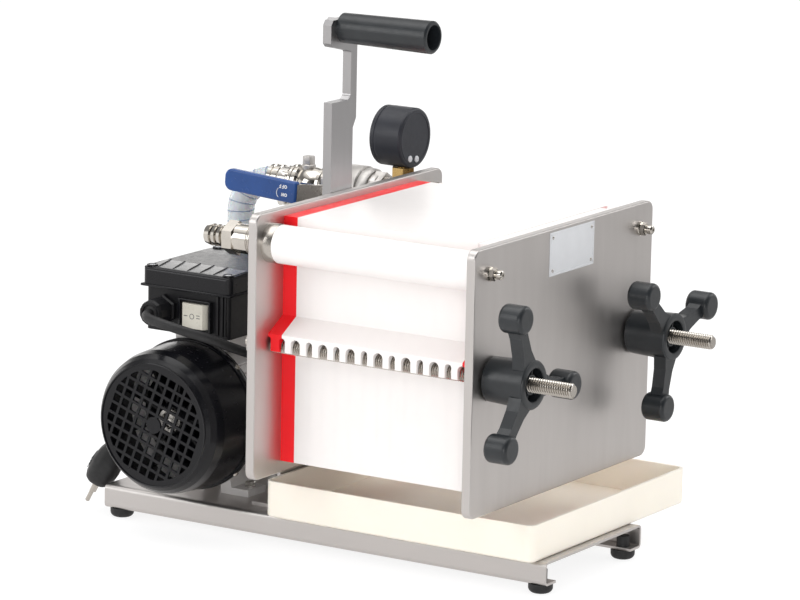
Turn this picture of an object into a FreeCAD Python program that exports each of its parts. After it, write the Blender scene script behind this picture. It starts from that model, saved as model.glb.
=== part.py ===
import FreeCAD, Part
import math
import operator
import os

import Sketcher

# A small plate filter press for wine and oil: thirteen white filter plates between two red ones,
# clamped on two tie rods between a stainless rear plate and a press plate, over a drip tray. A motor
# with an impeller pump stands behind them on the same folded base.
# Axes: +X along the press from the motor to the hand knobs, -Y is the near side, +Z is up.
# Origin: on the floor, under the middle of the machine. Millimetres.

Vector = FreeCAD.Vector
Rotation = FreeCAD.Rotation

doc = FreeCAD.newDocument("plate_filter_press")
sheet = doc.addObject("Spreadsheet::Sheet", "sizes")


# ---------------------------------------------------------------- sizes and bindings


class Size:
    """A length together with the spreadsheet formula that gives it."""

    def __init__(self, value, formula):
        self.value = value
        self.formula = formula

    def join(self, other, symbol, act, swapped=False):
        left, right = (other, self) if swapped else (self, other)
        return Size(act(number(left), number(right)), f"({formula(left)} {symbol} {formula(right)})")

    def __add__(self, other):
        return self.join(other, "+", operator.add)

    def __radd__(self, other):
        return self.join(other, "+", operator.add, swapped=True)

    def __sub__(self, other):
        return self.join(other, "-", operator.sub)

    def __rsub__(self, other):
        return self.join(other, "-", operator.sub, swapped=True)

    def __mul__(self, other):
        return self.join(other, "*", operator.mul)

    def __rmul__(self, other):
        return self.join(other, "*", operator.mul, swapped=True)

    def __truediv__(self, other):
        return self.join(other, "/", operator.truediv)

    def __neg__(self):
        return Size(-self.value, f"(-1 * {self.formula})")


def number(value):
    return value.value if isinstance(value, Size) else float(value)


def formula(value):
    return value.formula if isinstance(value, Size) else f"({float(value)})"


def size(name, value):
    """Writes one driving dimension into the sheet."""
    size.row += 1
    cell = f"A{size.row}"
    sheet.set(cell, str(value))
    sheet.setAlias(cell, name)
    return Size(float(value), f"sizes.{name}")


size.row = 0


def bind(item, name, value):
    if isinstance(value, Size):
        item.setExpression(name, value.formula)
    else:
        setattr(item, name, value)


# the tie rods, the channels and the plates are all symmetric about this line
mid_line = size("mid_line", -11)
seat_gap = size("seat_gap", 0.3)
fit_gap = size("fit_gap", 0.1)

# base and feet
foot_radius = size("foot_radius", 10)
foot_height = size("foot_height", 8)
foot_side_inset = size("foot_side_inset", 11)
foot_inset = size("foot_inset", 10.5)
foot_round = size("foot_round", 4.5)
foot_stud = size("foot_stud", 5.3)
foot_stud_height = size("foot_stud_height", 9)
base_left = size("base_left", -235.5)
base_length = size("base_length", 429)
base_width = size("base_width", 154)
base_depth = size("base_depth", 19.6)
base_sheet = size("base_sheet", 2)
base_lip = size("base_lip", 17)
base_bend = size("base_bend", 4)

# drip tray
tray_left = size("tray_left", -68.2)
tray_near = size("tray_near", -97.4)
tray_length = size("tray_length", 254.8)
tray_width = size("tray_width", 249.4)
tray_depth = size("tray_depth", 30.4)
tray_wall = size("tray_wall", 2.5)
tray_corner = size("tray_corner", 7)

# rear plate, press plate and the bracket that carries them
stack_start = size("stack_start", -43.5)
plate_sheet = size("plate_sheet", 8)
plate_margin = size("plate_margin", 39.5)
plate_lift = size("plate_lift", 43.4)
plate_corner = size("plate_corner", 8)
plate_edge = size("plate_edge", 1.2)
rear_plate_top = size("rear_plate_top", 6)
press_plate_drop = size("press_plate_drop", 1.3)
press_plate_top = size("press_plate_top", 1.5)
bracket_sheet = size("bracket_sheet", 3)
bracket_width = size("bracket_width", 120)
bracket_depth = size("bracket_depth", 19)
bracket_foot = size("bracket_foot", 28)
bracket_flange = size("bracket_flange", 40)
bracket_rise = size("bracket_rise", 5)

# tie rods and hand knobs
rod_radius = size("rod_radius", 6)
rod_offset = size("rod_offset", 11.5)
rod_sink = size("rod_sink", 3)
rod_tail = size("rod_tail", 17)
rod_reach = size("rod_reach", 75)
rod_chamfer = size("rod_chamfer", 1)
press_bore_gap = size("press_bore_gap", 0.5)
nut_across = size("nut_across", 19)
nut_depth = size("nut_depth", 10)
washer_radius = size("washer_radius", 13)
washer_sheet = size("washer_sheet", 2.5)

# filter plates
plate_pitch = size("plate_pitch", 13.05)
frame_width = size("frame_width", 202)
frame_rise = size("frame_rise", 10)
lug_reach = size("lug_reach", 20.5)
lug_narrow_gap = size("lug_narrow_gap", 3)
lug_wide_gap = size("lug_wide_gap", 4.4)
red_lug_gap = size("red_lug_gap", 2.4)
lug_arch = size("lug_arch", 8.5)
red_drop = size("red_drop", 3.2)
lug_top = size("lug_top", 23)
lug_shoulder = size("lug_shoulder", 11)
lug_foot = size("lug_foot", 3)
lug_bottom = size("lug_bottom", 9.5)
slot_gap = size("slot_gap", 0.3)
channel_offset = size("channel_offset", 18)
channel_drop = size("channel_drop", 19.3)
channel_radius = size("channel_radius", 15.7)
channel_bore = size("channel_bore", 9)
neck_height = size("neck_height", 18)

# motor, fan cowl and fan
motor_x = size("motor_x", -150)
motor_rise = size("motor_rise", 72.7)
motor_near = size("motor_near", -86)
motor_length = size("motor_length", 143)
motor_radius = size("motor_radius", 58)
motor_ring = size("motor_ring", 6)
motor_nose = size("motor_nose", 52)
shaft_radius = size("shaft_radius", 6)
shaft_reach = size("shaft_reach", 24)
leg_outer = size("leg_outer", 36)
leg_height = size("leg_height", 6)
leg_rise = size("leg_rise", 20)
leg_width = size("leg_width", 26)
leg_inset = size("leg_inset", 33)
leg_pitch = size("leg_pitch", 80)
cowl_near = size("cowl_near", -140)
cowl_radius = size("cowl_radius", 62.4)
cowl_flare = size("cowl_flare", 2.4)
cowl_face_radius = size("cowl_face_radius", 52)
cowl_shoulder = size("cowl_shoulder", 16)
cowl_wall = size("cowl_wall", 2)
grille_radius = size("grille_radius", 46)
grille_pitch = size("grille_pitch", 9)
grille_bar = size("grille_bar", 2.4)
fan_radius = size("fan_radius", 52)
fan_hub = size("fan_hub", 14)
fan_depth = size("fan_depth", 20)
blade_sheet = size("blade_sheet", 2)

# terminal box and switch
box_left = size("box_left", -184.2)
box_length = size("box_length", 82)
box_near = size("box_near", -103)
box_width = size("box_width", 103)
box_rise = size("box_rise", 70.7)
box_height = size("box_height", 36)
box_neck = size("box_neck", 15)
lid_overhang = size("lid_overhang", 2.5)
lid_edge = size("lid_edge", 16)
lid_height = size("lid_height", 17.2)
lid_slope = size("lid_slope", 31)
lid_round = size("lid_round", 3)
lid_corner = size("lid_corner", 5)
switch_x = size("switch_x", -133.5)
switch_rise = size("switch_rise", 17.2)
rocker_radius = size("rocker_radius", 13)
rocker_height = size("rocker_height", 20.4)
rocker_front = size("rocker_front", 8.5)
rocker_back = size("rocker_back", 7)
switch_sheet = size("switch_sheet", 3)
switch_rim = size("switch_rim", 2.7)
switch_pivot = size("switch_pivot", 2)
gland_x = size("gland_x", -165)
gland_rise = size("gland_rise", 18.3)
gland_across = size("gland_across", 22)
gland_collar = size("gland_collar", 7)
gland_length = size("gland_length", 22)
gland_mouth = size("gland_mouth", 9.5)
cord_radius = size("cord_radius", 4)

# pump and hoses
pump_flange = size("pump_flange", 8)
pump_waist = size("pump_waist", 12)
pump_radius = size("pump_radius", 45)
pump_depth = size("pump_depth", 46)
tail_bore = size("tail_bore", 5.5)
barb_radius = size("barb_radius", 9)
barb_root = size("barb_root", 7.6)
barb_pitch = size("barb_pitch", 5.2)
tail_ring = size("tail_ring", 22.8)
tail_ring_radius = size("tail_ring_radius", 12)
tail_nut = size("tail_nut", 9.2)
tail_nut_across = size("tail_nut_across", 24.5)
suction_nut = size("suction_nut", 10)
port_inset = size("port_inset", 22.3)
port_boss = size("port_boss", 12)
hose_radius = size("hose_radius", 11.5)
hose_bore = size("hose_bore", 8.5)
hose_lead = size("hose_lead", 17.5)
hose_fall = size("hose_fall", 49.5)
hose_first_bend = size("hose_first_bend", 20)
hose_middle_bend = size("hose_middle_bend", 28.5)
hose_last_bend = size("hose_last_bend", 60)
port_nut_offset = size("port_nut_offset", 4)
spigot_length = size("spigot_length", 15)
clamp_width = size("clamp_width", 9)
clamp_sheet = size("clamp_sheet", 1.2)

# valve line on the far channel
tee_length = size("tee_length", 30)
tee_radius = size("tee_radius", 14)
tee_thread = size("tee_thread", 4)
thread_radius = size("thread_radius", 10.3)
gauge_offset = size("gauge_offset", 18)
tee_boss = size("tee_boss", 16)
valve_length = size("valve_length", 56)
valve_across = size("valve_across", 33)
valve_end = size("valve_end", 13)
valve_radius = size("valve_radius", 21.5)
valve_boss = size("valve_boss", 28)
valve_boss_radius = size("valve_boss_radius", 8)
stem_radius = size("stem_radius", 4)
lever_offset = size("lever_offset", 35)
lever_sheet = size("lever_sheet", 2.5)
lever_strip = size("lever_strip", 15)
lever_jog_start = size("lever_jog_start", 13)
lever_jog = size("lever_jog", 16)
lever_length = size("lever_length", 100)
lever_tail = size("lever_tail", 10)
lever_round = size("lever_round", 6)
sleeve_width = size("sleeve_width", 19)
sleeve_thick = size("sleeve_thick", 6.5)
sleeve_length = size("sleeve_length", 73)
sleeve_corner = size("sleeve_corner", 7)
union_length = size("union_length", 37)
union_across = size("union_across", 30)
union_nut = size("union_nut", 10)
union_thread = size("union_thread", 5)
union_radius = size("union_radius", 13)
vent_offset = size("vent_offset", 23)
vent_height = size("vent_height", 24.3)
vent_radius = size("vent_radius", 5)

# pressure gauge
gauge_radius = size("gauge_radius", 25.5)
gauge_depth = size("gauge_depth", 27.6)
gauge_back = size("gauge_back", 6.7)
gauge_rise = size("gauge_rise", 51.3)
gauge_bezel = size("gauge_bezel", 2.5)
stem_across = size("stem_across", 18)
stem_hex = size("stem_hex", 9.5)

# carrying handle
handle_sheet = size("handle_sheet", 8)
handle_line = size("handle_line", -5)
handle_half = size("handle_half", 16)
handle_foot = size("handle_foot", 70)
handle_shoulder = size("handle_shoulder", 74)
handle_notch = size("handle_notch", 36)
handle_head = size("handle_head", 29)
handle_neck_near = size("handle_neck_near", 11.6)
handle_neck_far = size("handle_neck_far", 20.7)
grip_rise = size("grip_rise", 134.4)
grip_radius = size("grip_radius", 12.3)
grip_end_radius = size("grip_end_radius", 13.5)
grip_length = size("grip_length", 86)
grip_bore = size("grip_bore", 10.3)
grip_bore_depth = size("grip_bore_depth", 30)
grip_bolt = size("grip_bolt", 4)
grip_bolt_seat = size("grip_bolt_seat", 14)
grip_bolt_head = size("grip_bolt_head", 7)
grip_bolt_across = size("grip_bolt_across", 13)

# hand knobs
knob_gap = size("knob_gap", 2)
knob_hub = size("knob_hub", 19.7)
knob_taper = size("knob_taper", 1.7)
knob_length = size("knob_length", 37.4)
knob_mouth = size("knob_mouth", 13.5)
knob_mouth_depth = size("knob_mouth_depth", 18)
knob_arm_start = size("knob_arm_start", 27.5)
knob_arm_sheet = size("knob_arm_sheet", 11)
knob_reach = size("knob_reach", 58.5)
lobe_radius = size("lobe_radius", 11.5)
lobe_length = size("lobe_length", 21)
lobe_round = size("lobe_round", 3.5)
bleed_radius = size("bleed_radius", 10)
bleed_across = size("bleed_across", 11)
bleed_length = size("bleed_length", 13)

doc.recompute()

foot_spread = base_width / 2 - foot_side_inset
base_bottom = foot_height
base_top = base_bottom + base_depth
plate_bottom = base_top + plate_lift
rear_back = stack_start - plate_sheet
stack_end = stack_start + plate_pitch * 15
press_front = stack_end + plate_sheet
frame_bottom = plate_bottom + frame_rise
frame_top = frame_bottom + frame_width
plate_width = frame_width + plate_margin * 2
rear_plate_height = frame_rise + frame_width + rear_plate_top
press_plate_height = press_plate_drop + frame_rise + frame_width + press_plate_top
rod_spread = frame_width / 2 + rod_offset
rod_z = frame_bottom + frame_width / 2 - rod_sink
channel_spread = frame_width / 2 + channel_offset
channel_z = frame_top - channel_drop
motor_z = base_top + motor_rise
motor_far = motor_near + motor_length
port_y = motor_far + pump_flange + pump_waist + port_inset
box_bottom = motor_z + box_rise
near_channel = mid_line - channel_spread
far_channel = mid_line + channel_spread
valve_start = rear_back - tee_length - tee_thread
valve_x = valve_start - valve_length / 2
union_start = valve_start - valve_length
hose_start = union_start - union_length
gauge_x = rear_back - gauge_offset
gauge_z = channel_z + gauge_rise
handle_y = mid_line + handle_line

# ---------------------------------------------------------------- building blocks

AXIS = {"X": Vector(1, 0, 0), "Y": Vector(0, 1, 0), "Z": Vector(0, 0, 1)}
TOWARDS = {
    "+X": Rotation(),
    "-X": Rotation(Vector(0, 0, 1), 180),
    "+Y": Rotation(Vector(0, 0, 1), 90),
    "-Y": Rotation(Vector(0, 0, 1), -90),
    "+Z": Rotation(Vector(0, 1, 0), -90),
    "-Z": Rotation(Vector(0, 1, 0), 90),
}
UPRIGHT_TO = {
    "X": Rotation(Vector(0, 1, 0), 90),
    "Y": Rotation(Vector(1, 0, 0), -90),
    "Z": Rotation(),
}


def place(item, x, y, z, turn=Rotation()):
    item.Placement = FreeCAD.Placement(Vector(number(x), number(y), number(z)), turn)
    for letter, value in zip("xyz", (x, y, z)):
        if isinstance(value, Size):
            item.setExpression(f"Placement.Base.{letter}", value.formula)
    return item


def block(name, xs, ys, zs):
    """A box given by its range along each axis."""
    item = doc.addObject("Part::Box", name)
    for side, (low, high) in zip(("Length", "Width", "Height"), (xs, ys, zs)):
        bind(item, side, high - low)
    return place(item, xs[0], ys[0], zs[0])


def bar(name, axis, radius, span, start):
    """A round bar: its low end at start, reaching span along the axis."""
    item = doc.addObject("Part::Cylinder", name)
    bind(item, "Radius", radius)
    bind(item, "Height", span)
    return place(item, *start, turn=UPRIGHT_TO[axis])


def hex_bar(name, axis, across, span, start, spin=0):
    """A hexagon bar; spin turns its corners about its own axis, in degrees."""
    item = doc.addObject("Part::Prism", name)
    item.Polygon = 6
    bind(item, "Circumradius", across / math.sqrt(3))
    bind(item, "Height", span)
    return place(item, *start, turn=UPRIGHT_TO[axis].multiply(Rotation(AXIS["Z"], spin)))


def fused(name, pieces):
    item = doc.addObject("Part::MultiFuse", name)
    item.Shapes = pieces
    item.Refine = True
    return item


def apart(name, pieces):
    """Separate like pieces that share one sub-part."""
    item = doc.addObject("Part::Compound", name)
    item.Links = pieces
    return item


def cut(name, base, tool):
    item = doc.addObject("Part::Cut", name)
    item.Base = base
    item.Tool = tool if not isinstance(tool, list) else fused(f"{name}_tools", tool)
    item.Refine = True
    return item


def shared(name, first, second):
    item = doc.addObject("Part::Common", name)
    item.Base = first
    item.Tool = second
    return item


def copy_of(name, master, x=0, y=0, z=0, turn=Rotation()):
    return place(apart(name, [master]), x, y, z, turn)


def attach(sketch, body, role, start):
    plane = next(face for face in body.Origin.OriginFeatures if face.Role == role)
    sketch.AttachmentSupport = [(plane, "")]
    sketch.MapMode = "FlatFace"
    # the XZ plane looks along -Y, the other two along +Z and +X
    offset = -1 * start if role == "XZ_Plane" else start
    sketch.AttachmentOffset = FreeCAD.Placement(Vector(0, 0, number(offset)), Rotation())
    if isinstance(offset, Size):
        sketch.setExpression("AttachmentOffset.Base.z", offset.formula)


def hold(sketch, kind, item, point, distance):
    """Holds one point of the sketch at a distance from the sketch's origin."""
    if number(distance) == 0:
        axis = -2 if kind == "DistanceX" else -1
        sketch.addConstraint(Sketcher.Constraint("PointOnObject", item, point, axis))
        return
    index = sketch.addConstraint(Sketcher.Constraint(kind, -1, 1, item, point, number(distance)))
    if isinstance(distance, Size):
        sketch.setExpression(f"Constraints[{index}]", distance.formula)


def outline(body, role, points, start=0):
    """A closed outline of straight lines, each corner held at its own two sizes."""
    sketch = body.newObject("Sketcher::SketchObject", f"{body.Name}_outline_{len(body.Group)}")
    attach(sketch, body, role, start)
    corners = [Vector(number(across), number(up), 0) for across, up in points]
    count = len(corners)
    for here in range(count):
        sketch.addGeometry(Part.LineSegment(corners[here], corners[(here + 1) % count]), False)
    for here in range(count):
        sketch.addConstraint(Sketcher.Constraint("Coincident", here, 2, (here + 1) % count, 1))
    for here, (across, up) in enumerate(points):
        hold(sketch, "DistanceX", here, 1, across)
        hold(sketch, "DistanceY", here, 1, up)
    return sketch


def circle(body, role, centre, radius, start=0):
    sketch = body.newObject("Sketcher::SketchObject", f"{body.Name}_circle_{len(body.Group)}")
    attach(sketch, body, role, start)
    middle = Vector(number(centre[0]), number(centre[1]), 0)
    sketch.addGeometry(Part.Circle(middle, Vector(0, 0, 1), number(radius)), False)
    hold(sketch, "DistanceX", 0, 3, centre[0])
    hold(sketch, "DistanceY", 0, 3, centre[1])
    index = sketch.addConstraint(Sketcher.Constraint("Radius", 0, number(radius)))
    if isinstance(radius, Size):
        sketch.setExpression(f"Constraints[{index}]", radius.formula)
    return sketch


def new_body(name):
    return doc.addObject("PartDesign::Body", name)


def pad(body, role, sketch, length):
    """Grows the body from the sketch, towards the positive axis."""
    feature = body.newObject("PartDesign::Pad", f"{body.Name}_pad_{len(body.Group)}")
    feature.Profile = sketch
    feature.Reversed = role == "XZ_Plane"
    bind(feature, "Length", length)
    body.Tip = feature
    return feature


def pocket(body, role, sketch, length):
    """Cuts the body from the sketch, towards the positive axis."""
    doc.recompute()
    before = body.Shape.Volume
    feature = body.newObject("PartDesign::Pocket", f"{body.Name}_pocket_{len(body.Group)}")
    feature.Profile = sketch
    feature.Reversed = role != "XZ_Plane"
    bind(feature, "Length", length)
    body.Tip = feature
    doc.recompute()
    if not body.Shape.Volume < before - 1e-3:
        raise RuntimeError(f"{feature.Name} removes nothing")
    return feature


def extruded(name, role, points, length, at=(0, 0, 0)):
    body = new_body(name)
    pad(body, role, outline(body, role, points), length)
    place(body, *at)
    return body


def turned(name, direction, points, at):
    """A body of revolution: points are (distance along the direction, radius). The direction is
    the name of an axis, or a rotation that takes +X to it."""
    body = new_body(name)
    sketch = outline(body, "XZ_Plane", points)
    feature = body.newObject("PartDesign::Revolution", f"{name}_turn")
    feature.Profile = sketch
    feature.ReferenceAxis = (sketch, ["H_Axis"])
    feature.Angle = 360
    body.Tip = feature
    place(body, *at, turn=TOWARDS[direction] if isinstance(direction, str) else direction)
    return body


def rounded(body, radius, chosen, kind="PartDesign::Fillet"):
    """Rounds, or chamfers, the edges of the body's last feature that are chosen."""
    doc.recompute()
    last = body.Tip
    names = [f"Edge{count}" for count, edge in enumerate(last.Shape.Edges, 1) if chosen(edge)]
    feature = body.newObject(kind, f"{body.Name}_edges_{len(body.Group)}")
    feature.Base = (last, names)
    bind(feature, "Radius" if kind.endswith("Fillet") else "Size", radius)
    body.Tip = feature
    return feature


def lies_along(edge, axis):
    """True for a straight edge that runs along the axis, given as a vector."""
    if not isinstance(edge.Curve, Part.Line):
        return False
    return abs(edge.Curve.Direction.normalize().dot(axis)) > 0.999


# ---------------------------------------------------------------- base, feet and tray


def base_channel():
    """A folded sheet: a top, two skirts and two narrow flanges turned in at the bottom."""
    half = base_width / 2
    inner = half - base_sheet
    lip = half - base_lip
    top, under = base_depth, base_depth - base_sheet
    right = [(half, 0), (half, top), (inner, under), (inner, base_sheet), (lip, base_sheet), (lip, 0)]
    points = [(half, 0), (half, top), (-half, top), (-half, 0), (-lip, 0), (-lip, base_sheet)]
    points += [(-inner, base_sheet), (-inner, under), (inner, under), (inner, base_sheet)]
    points += [(lip, base_sheet), (lip, 0)]
    body = extruded("base_channel", "YZ_Plane", points, base_length, (base_left, mid_line, base_bottom))
    reach, height = number(half), number(base_depth)

    def outer_bend(edge):
        spot = edge.CenterOfMass
        return lies_along(edge, AXIS["X"]) and abs(abs(spot.y) - reach) < 0.01 and min(
            spot.z, height - spot.z) < 0.01

    rounded(body, base_bend, outer_bend)
    inside, ceiling, floor = number(inner), number(under), number(base_sheet)

    def inner_bend(edge):
        spot = edge.CenterOfMass
        return lies_along(edge, AXIS["X"]) and abs(abs(spot.y) - inside) < 0.01 and min(
            abs(spot.z - floor), abs(spot.z - ceiling)) < 0.01

    rounded(body, base_bend - base_sheet, inner_bend)
    return body


def rubber_feet():
    feet = []
    for end, x in (("left", base_left + foot_inset), ("right", base_left + base_length - foot_inset)):
        for side, sign in (("near", -1), ("far", 1)):
            y = mid_line + sign * foot_spread
            points = [(0, 0), (foot_height, 0), (foot_height, foot_radius), (0, foot_radius)]
            foot = turned(f"foot_{end}_{side}", "+Z", points, (x, y, 0))
            rounded(foot, foot_round, lambda edge: edge.CenterOfMass.x < 0.01 and len(edge.Vertexes) == 1)
            feet.append(foot)
            at = (x, y, base_bottom + base_sheet)
            stud = bar(f"foot_stud_{end}_{side}", "Z", foot_stud, foot_stud_height, at)
            feet.append(stud)
    return apart("rubber_feet", feet)


def drip_tray():
    length, width, depth = tray_length, tray_width, tray_depth
    points = [(0, 0), (length, 0), (length, width), (0, width)]
    body = extruded("drip_tray", "XY_Plane", points, depth, (tray_left, tray_near, base_top))
    rounded(body, tray_corner, lambda edge: lies_along(edge, AXIS["Z"]))
    floor = 0.01
    rounded(body, tray_wall, lambda edge: edge.CenterOfMass.z < floor)
    wall = tray_wall
    inside = [(wall, wall), (length - wall, wall), (length - wall, width - wall), (wall, width - wall)]
    sketch = outline(body, "XY_Plane", inside, wall)
    pocket(body, "XY_Plane", sketch, depth)
    near_edge, far_edge = number(wall) - 0.01, number(width - wall) + 0.01

    def inner_corner(edge):
        spot = edge.CenterOfMass
        return (lies_along(edge, AXIS["Z"]) and near_edge < spot.y < far_edge
                and near_edge < spot.x < number(length - wall) + 0.01)

    rounded(body, tray_corner - tray_wall, inner_corner)
    return body


# ---------------------------------------------------------------- stainless plates and rods


def steel_plate(name, back, bottom, height, bore_gap):
    """A flat plate with rounded corners, bored for the two rods and the two channels."""
    half = plate_width / 2
    points = [(-half, 0), (half, 0), (half, height), (-half, height)]
    body = extruded(name, "YZ_Plane", points, plate_sheet, (back, mid_line, bottom))
    rounded(body, plate_corner, lambda edge: lies_along(edge, AXIS["X"]))
    middle = number(plate_sheet) / 2
    rounded(body, plate_edge, lambda edge: abs(abs(edge.CenterOfMass.x - middle) - middle) < 0.01)
    for sign in (-1, 1):
        rod = circle(body, "YZ_Plane", (sign * rod_spread, rod_z - bottom), rod_radius + bore_gap)
        pocket(body, "YZ_Plane", rod, plate_sheet)
        channel = circle(body, "YZ_Plane", (sign * channel_spread, channel_z - bottom), channel_bore + fit_gap)
        pocket(body, "YZ_Plane", channel, plate_sheet)
    return body


def plate_bracket():
    """A sheet folded like a Z with a flange at the top: it lifts the rear plate off the base."""
    sheet_size = bracket_sheet
    back = rear_back
    shelf = plate_bottom + bracket_rise
    web = back - bracket_depth
    points = [(back, shelf), (back, shelf + bracket_flange), (back - sheet_size, shelf + bracket_flange)]
    points += [(back - sheet_size, shelf + sheet_size), (web - sheet_size, shelf + sheet_size)]
    points += [(web - sheet_size, base_top + sheet_size), (web - bracket_foot, base_top + sheet_size)]
    points += [(web - bracket_foot, base_top), (web, base_top), (web, shelf)]
    return extruded("plate_bracket", "XZ_Plane", points, bracket_width, (0, mid_line - bracket_width / 2, 0))


def tie_rod(name, sign):
    start = rear_back - rod_tail
    span = press_front + rod_reach - start
    inner = rod_radius - rod_chamfer
    points = [(0, 0), (span, 0), (span, inner), (span - rod_chamfer, rod_radius)]
    points += [(rod_chamfer, rod_radius), (0, inner)]
    return turned(name, "+X", points, (start, mid_line + sign * rod_spread, rod_z))


def rod_nuts():
    nuts = []
    for side, sign in (("near", -1), ("far", 1)):
        y = mid_line + sign * rod_spread
        washer = bar(f"washer_{side}", "X", washer_radius, washer_sheet, (rear_back - washer_sheet, y, rod_z))
        start = rear_back - washer_sheet - nut_depth
        nut = hex_bar(f"nut_{side}", "X", nut_across, nut_depth, (start, y, rod_z))
        both = fused(f"nut_and_washer_{side}", [washer, nut])
        bore = bar(f"nut_bore_{side}", "X", rod_radius + fit_gap, nut_depth + washer_sheet, (start, y, rod_z))
        nuts.append(cut(f"rod_nut_{side}", both, bore))
    return apart("rod_nuts", nuts)


def build_stainless():
    parts = [base_channel(), rubber_feet(), drip_tray()]
    parts.append(steel_plate("rear_plate", rear_back, plate_bottom, rear_plate_height, fit_gap))
    parts.append(plate_bracket())
    parts.append(tie_rod("tie_rod_near", -1))
    parts.append(tie_rod("tie_rod_far", 1))
    parts.append(rod_nuts())
    bottom = plate_bottom - press_plate_drop
    parts.append(steel_plate("press_plate", stack_end, bottom, press_plate_height, press_bore_gap))
    return parts


# ---------------------------------------------------------------- filter plates


def filter_plate(name, rear_gap, press_gap, has_channels, top_drop):
    """One plate at x = 0..pitch: a square, two hooks that hang on the rods, and two channel eyelets."""
    half, height = frame_width / 2, frame_width - top_drop
    body = extruded(f"{name}_frame", "YZ_Plane", [(-half, 0), (half, 0), (half, height), (-half, height)],
                    plate_pitch, (0, mid_line, frame_bottom))
    grown, tools = [body], []
    for side, sign in (("near", -1), ("far", 1)):
        edge = mid_line + sign * half
        tip = edge + sign * lug_reach
        root = edge - sign * 1
        rod_y = mid_line + sign * rod_spread
        hook = [(root, rod_z + lug_top + 1), (edge, rod_z + lug_top), (tip, rod_z + lug_shoulder)]
        hook += [(tip, rod_z - lug_foot), (edge, rod_z - lug_bottom), (root, rod_z - lug_bottom)]
        grown.append(extruded(f"{name}_hook_{side}", "YZ_Plane", hook, plate_pitch))
        if has_channels:
            centre = mid_line + sign * channel_spread
            low, high = channel_z - neck_height / 2, channel_z + neck_height / 2
            ys = (root, centre) if sign > 0 else (centre, root)
            grown.append(block(f"{name}_neck_{side}", (rear_gap, plate_pitch - press_gap), ys, (low, high)))
            grown.append(bar(f"{name}_eyelet_{side}", "X", channel_radius, plate_pitch, (0, centre, channel_z)))
            tools.append(bar(f"{name}_channel_{side}", "X", channel_bore, plate_pitch, (0, centre, channel_z)))
        slot = rod_radius + slot_gap
        tools.append(bar(f"{name}_slot_{side}", "X", slot, plate_pitch, (0, rod_y, rod_z)))
        tools.append(block(f"{name}_mouth_{side}", (0, plate_pitch), (rod_y - slot, rod_y + slot),
                           (rod_z - rod_radius * 2, rod_z)))
        # an arch is cut into both faces of each hook, so the rod shows between neighbours
        inner = edge + sign * rear_gap / 2
        ys = (inner, tip + 1) if sign > 0 else (tip - 1, inner)
        low, reach = rod_z - lug_bottom - 1, lug_reach + 1
        for face, gap, x, xs in (("rear", rear_gap, 0, (0, rear_gap)),
                                 ("press", press_gap, plate_pitch, (plate_pitch - press_gap, plate_pitch))):
            crown = rod_z + lug_arch - gap
            tools.append(block(f"{name}_arch_{side}_{face}", xs, ys, (low, crown)))
            tools.append(bar(f"{name}_crown_{side}_{face}", "Y", gap, reach - rear_gap / 2, (x, ys[0], crown)))
    return cut(name, fused(f"{name}_blank", grown), tools)


def channel_seals():
    """Short collars that carry the two channels past the red plates."""
    collars = []
    for place_name, x in (("rear", stack_start), ("press", stack_end - plate_pitch)):
        for side, sign in (("near", -1), ("far", 1)):
            points = [(0, channel_bore), (0, channel_radius), (plate_pitch, channel_radius)]
            points += [(plate_pitch, channel_bore)]
            at = (x, mid_line + sign * channel_spread, channel_z)
            collars.append(turned(f"seal_{place_name}_{side}", "+X", points, at))
    return apart("channel_seals", collars)


def build_stack():
    white = filter_plate("white_plate_pattern", lug_narrow_gap, lug_wide_gap, True, 0)
    head = filter_plate("head_plate_pattern", red_lug_gap, red_lug_gap, False, 0)
    end = filter_plate("end_plate_pattern", red_lug_gap, red_lug_gap, False, red_drop)
    parts = [copy_of("head_plate", head, stack_start)]
    half_turn = Rotation(AXIS["Z"], 180)
    for count in range(1, 14):
        name, x = f"filter_plate_{count:02d}", stack_start + plate_pitch * count
        if count % 2 == 1:
            parts.append(copy_of(name, white, x))
        else:
            parts.append(copy_of(name, white, x + plate_pitch, mid_line * 2, 0, half_turn))
    parts.append(copy_of("end_plate", end, stack_end - plate_pitch))
    parts.append(channel_seals())
    return parts


# ---------------------------------------------------------------- motor, cowl and fan


def motor_body():
    """The finished motor housing with its shaft end, four feet and the block under the terminal box."""
    ring = cowl_radius - cowl_wall - seat_gap
    points = [(-shaft_reach, 0), (-shaft_reach, shaft_radius), (0, shaft_radius), (0, ring)]
    points += [(motor_ring, ring), (motor_ring, motor_radius), (motor_length - 10, motor_radius)]
    points += [(motor_length, motor_nose), (motor_length, 0)]
    pieces = [turned("motor_barrel", "+Y", points, (motor_x, motor_near, motor_z))]
    for row in (0, 1):
        y = motor_near + leg_inset + leg_pitch * row
        for side, sign in (("left", -1), ("right", 1)):
            outer, inner = sign * leg_outer, sign * (leg_outer - 27)
            leg = [(outer, 0), (outer, leg_height), (outer - sign * 17, leg_height)]
            leg += [(outer - sign * 20, leg_rise), (inner, leg_rise), (inner, 0)]
            at = (motor_x, y, base_top)
            pieces.append(extruded(f"motor_leg_{side}_{row + 1}", "XZ_Plane", leg, leg_width, at))
    low = box_bottom - box_neck
    xs = (box_left + 14, box_left + box_length - 14)
    pieces.append(block("motor_neck", xs, (box_near + 23, box_near + box_width - 10), (low, box_bottom)))
    return fused("motor_body", pieces)


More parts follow.
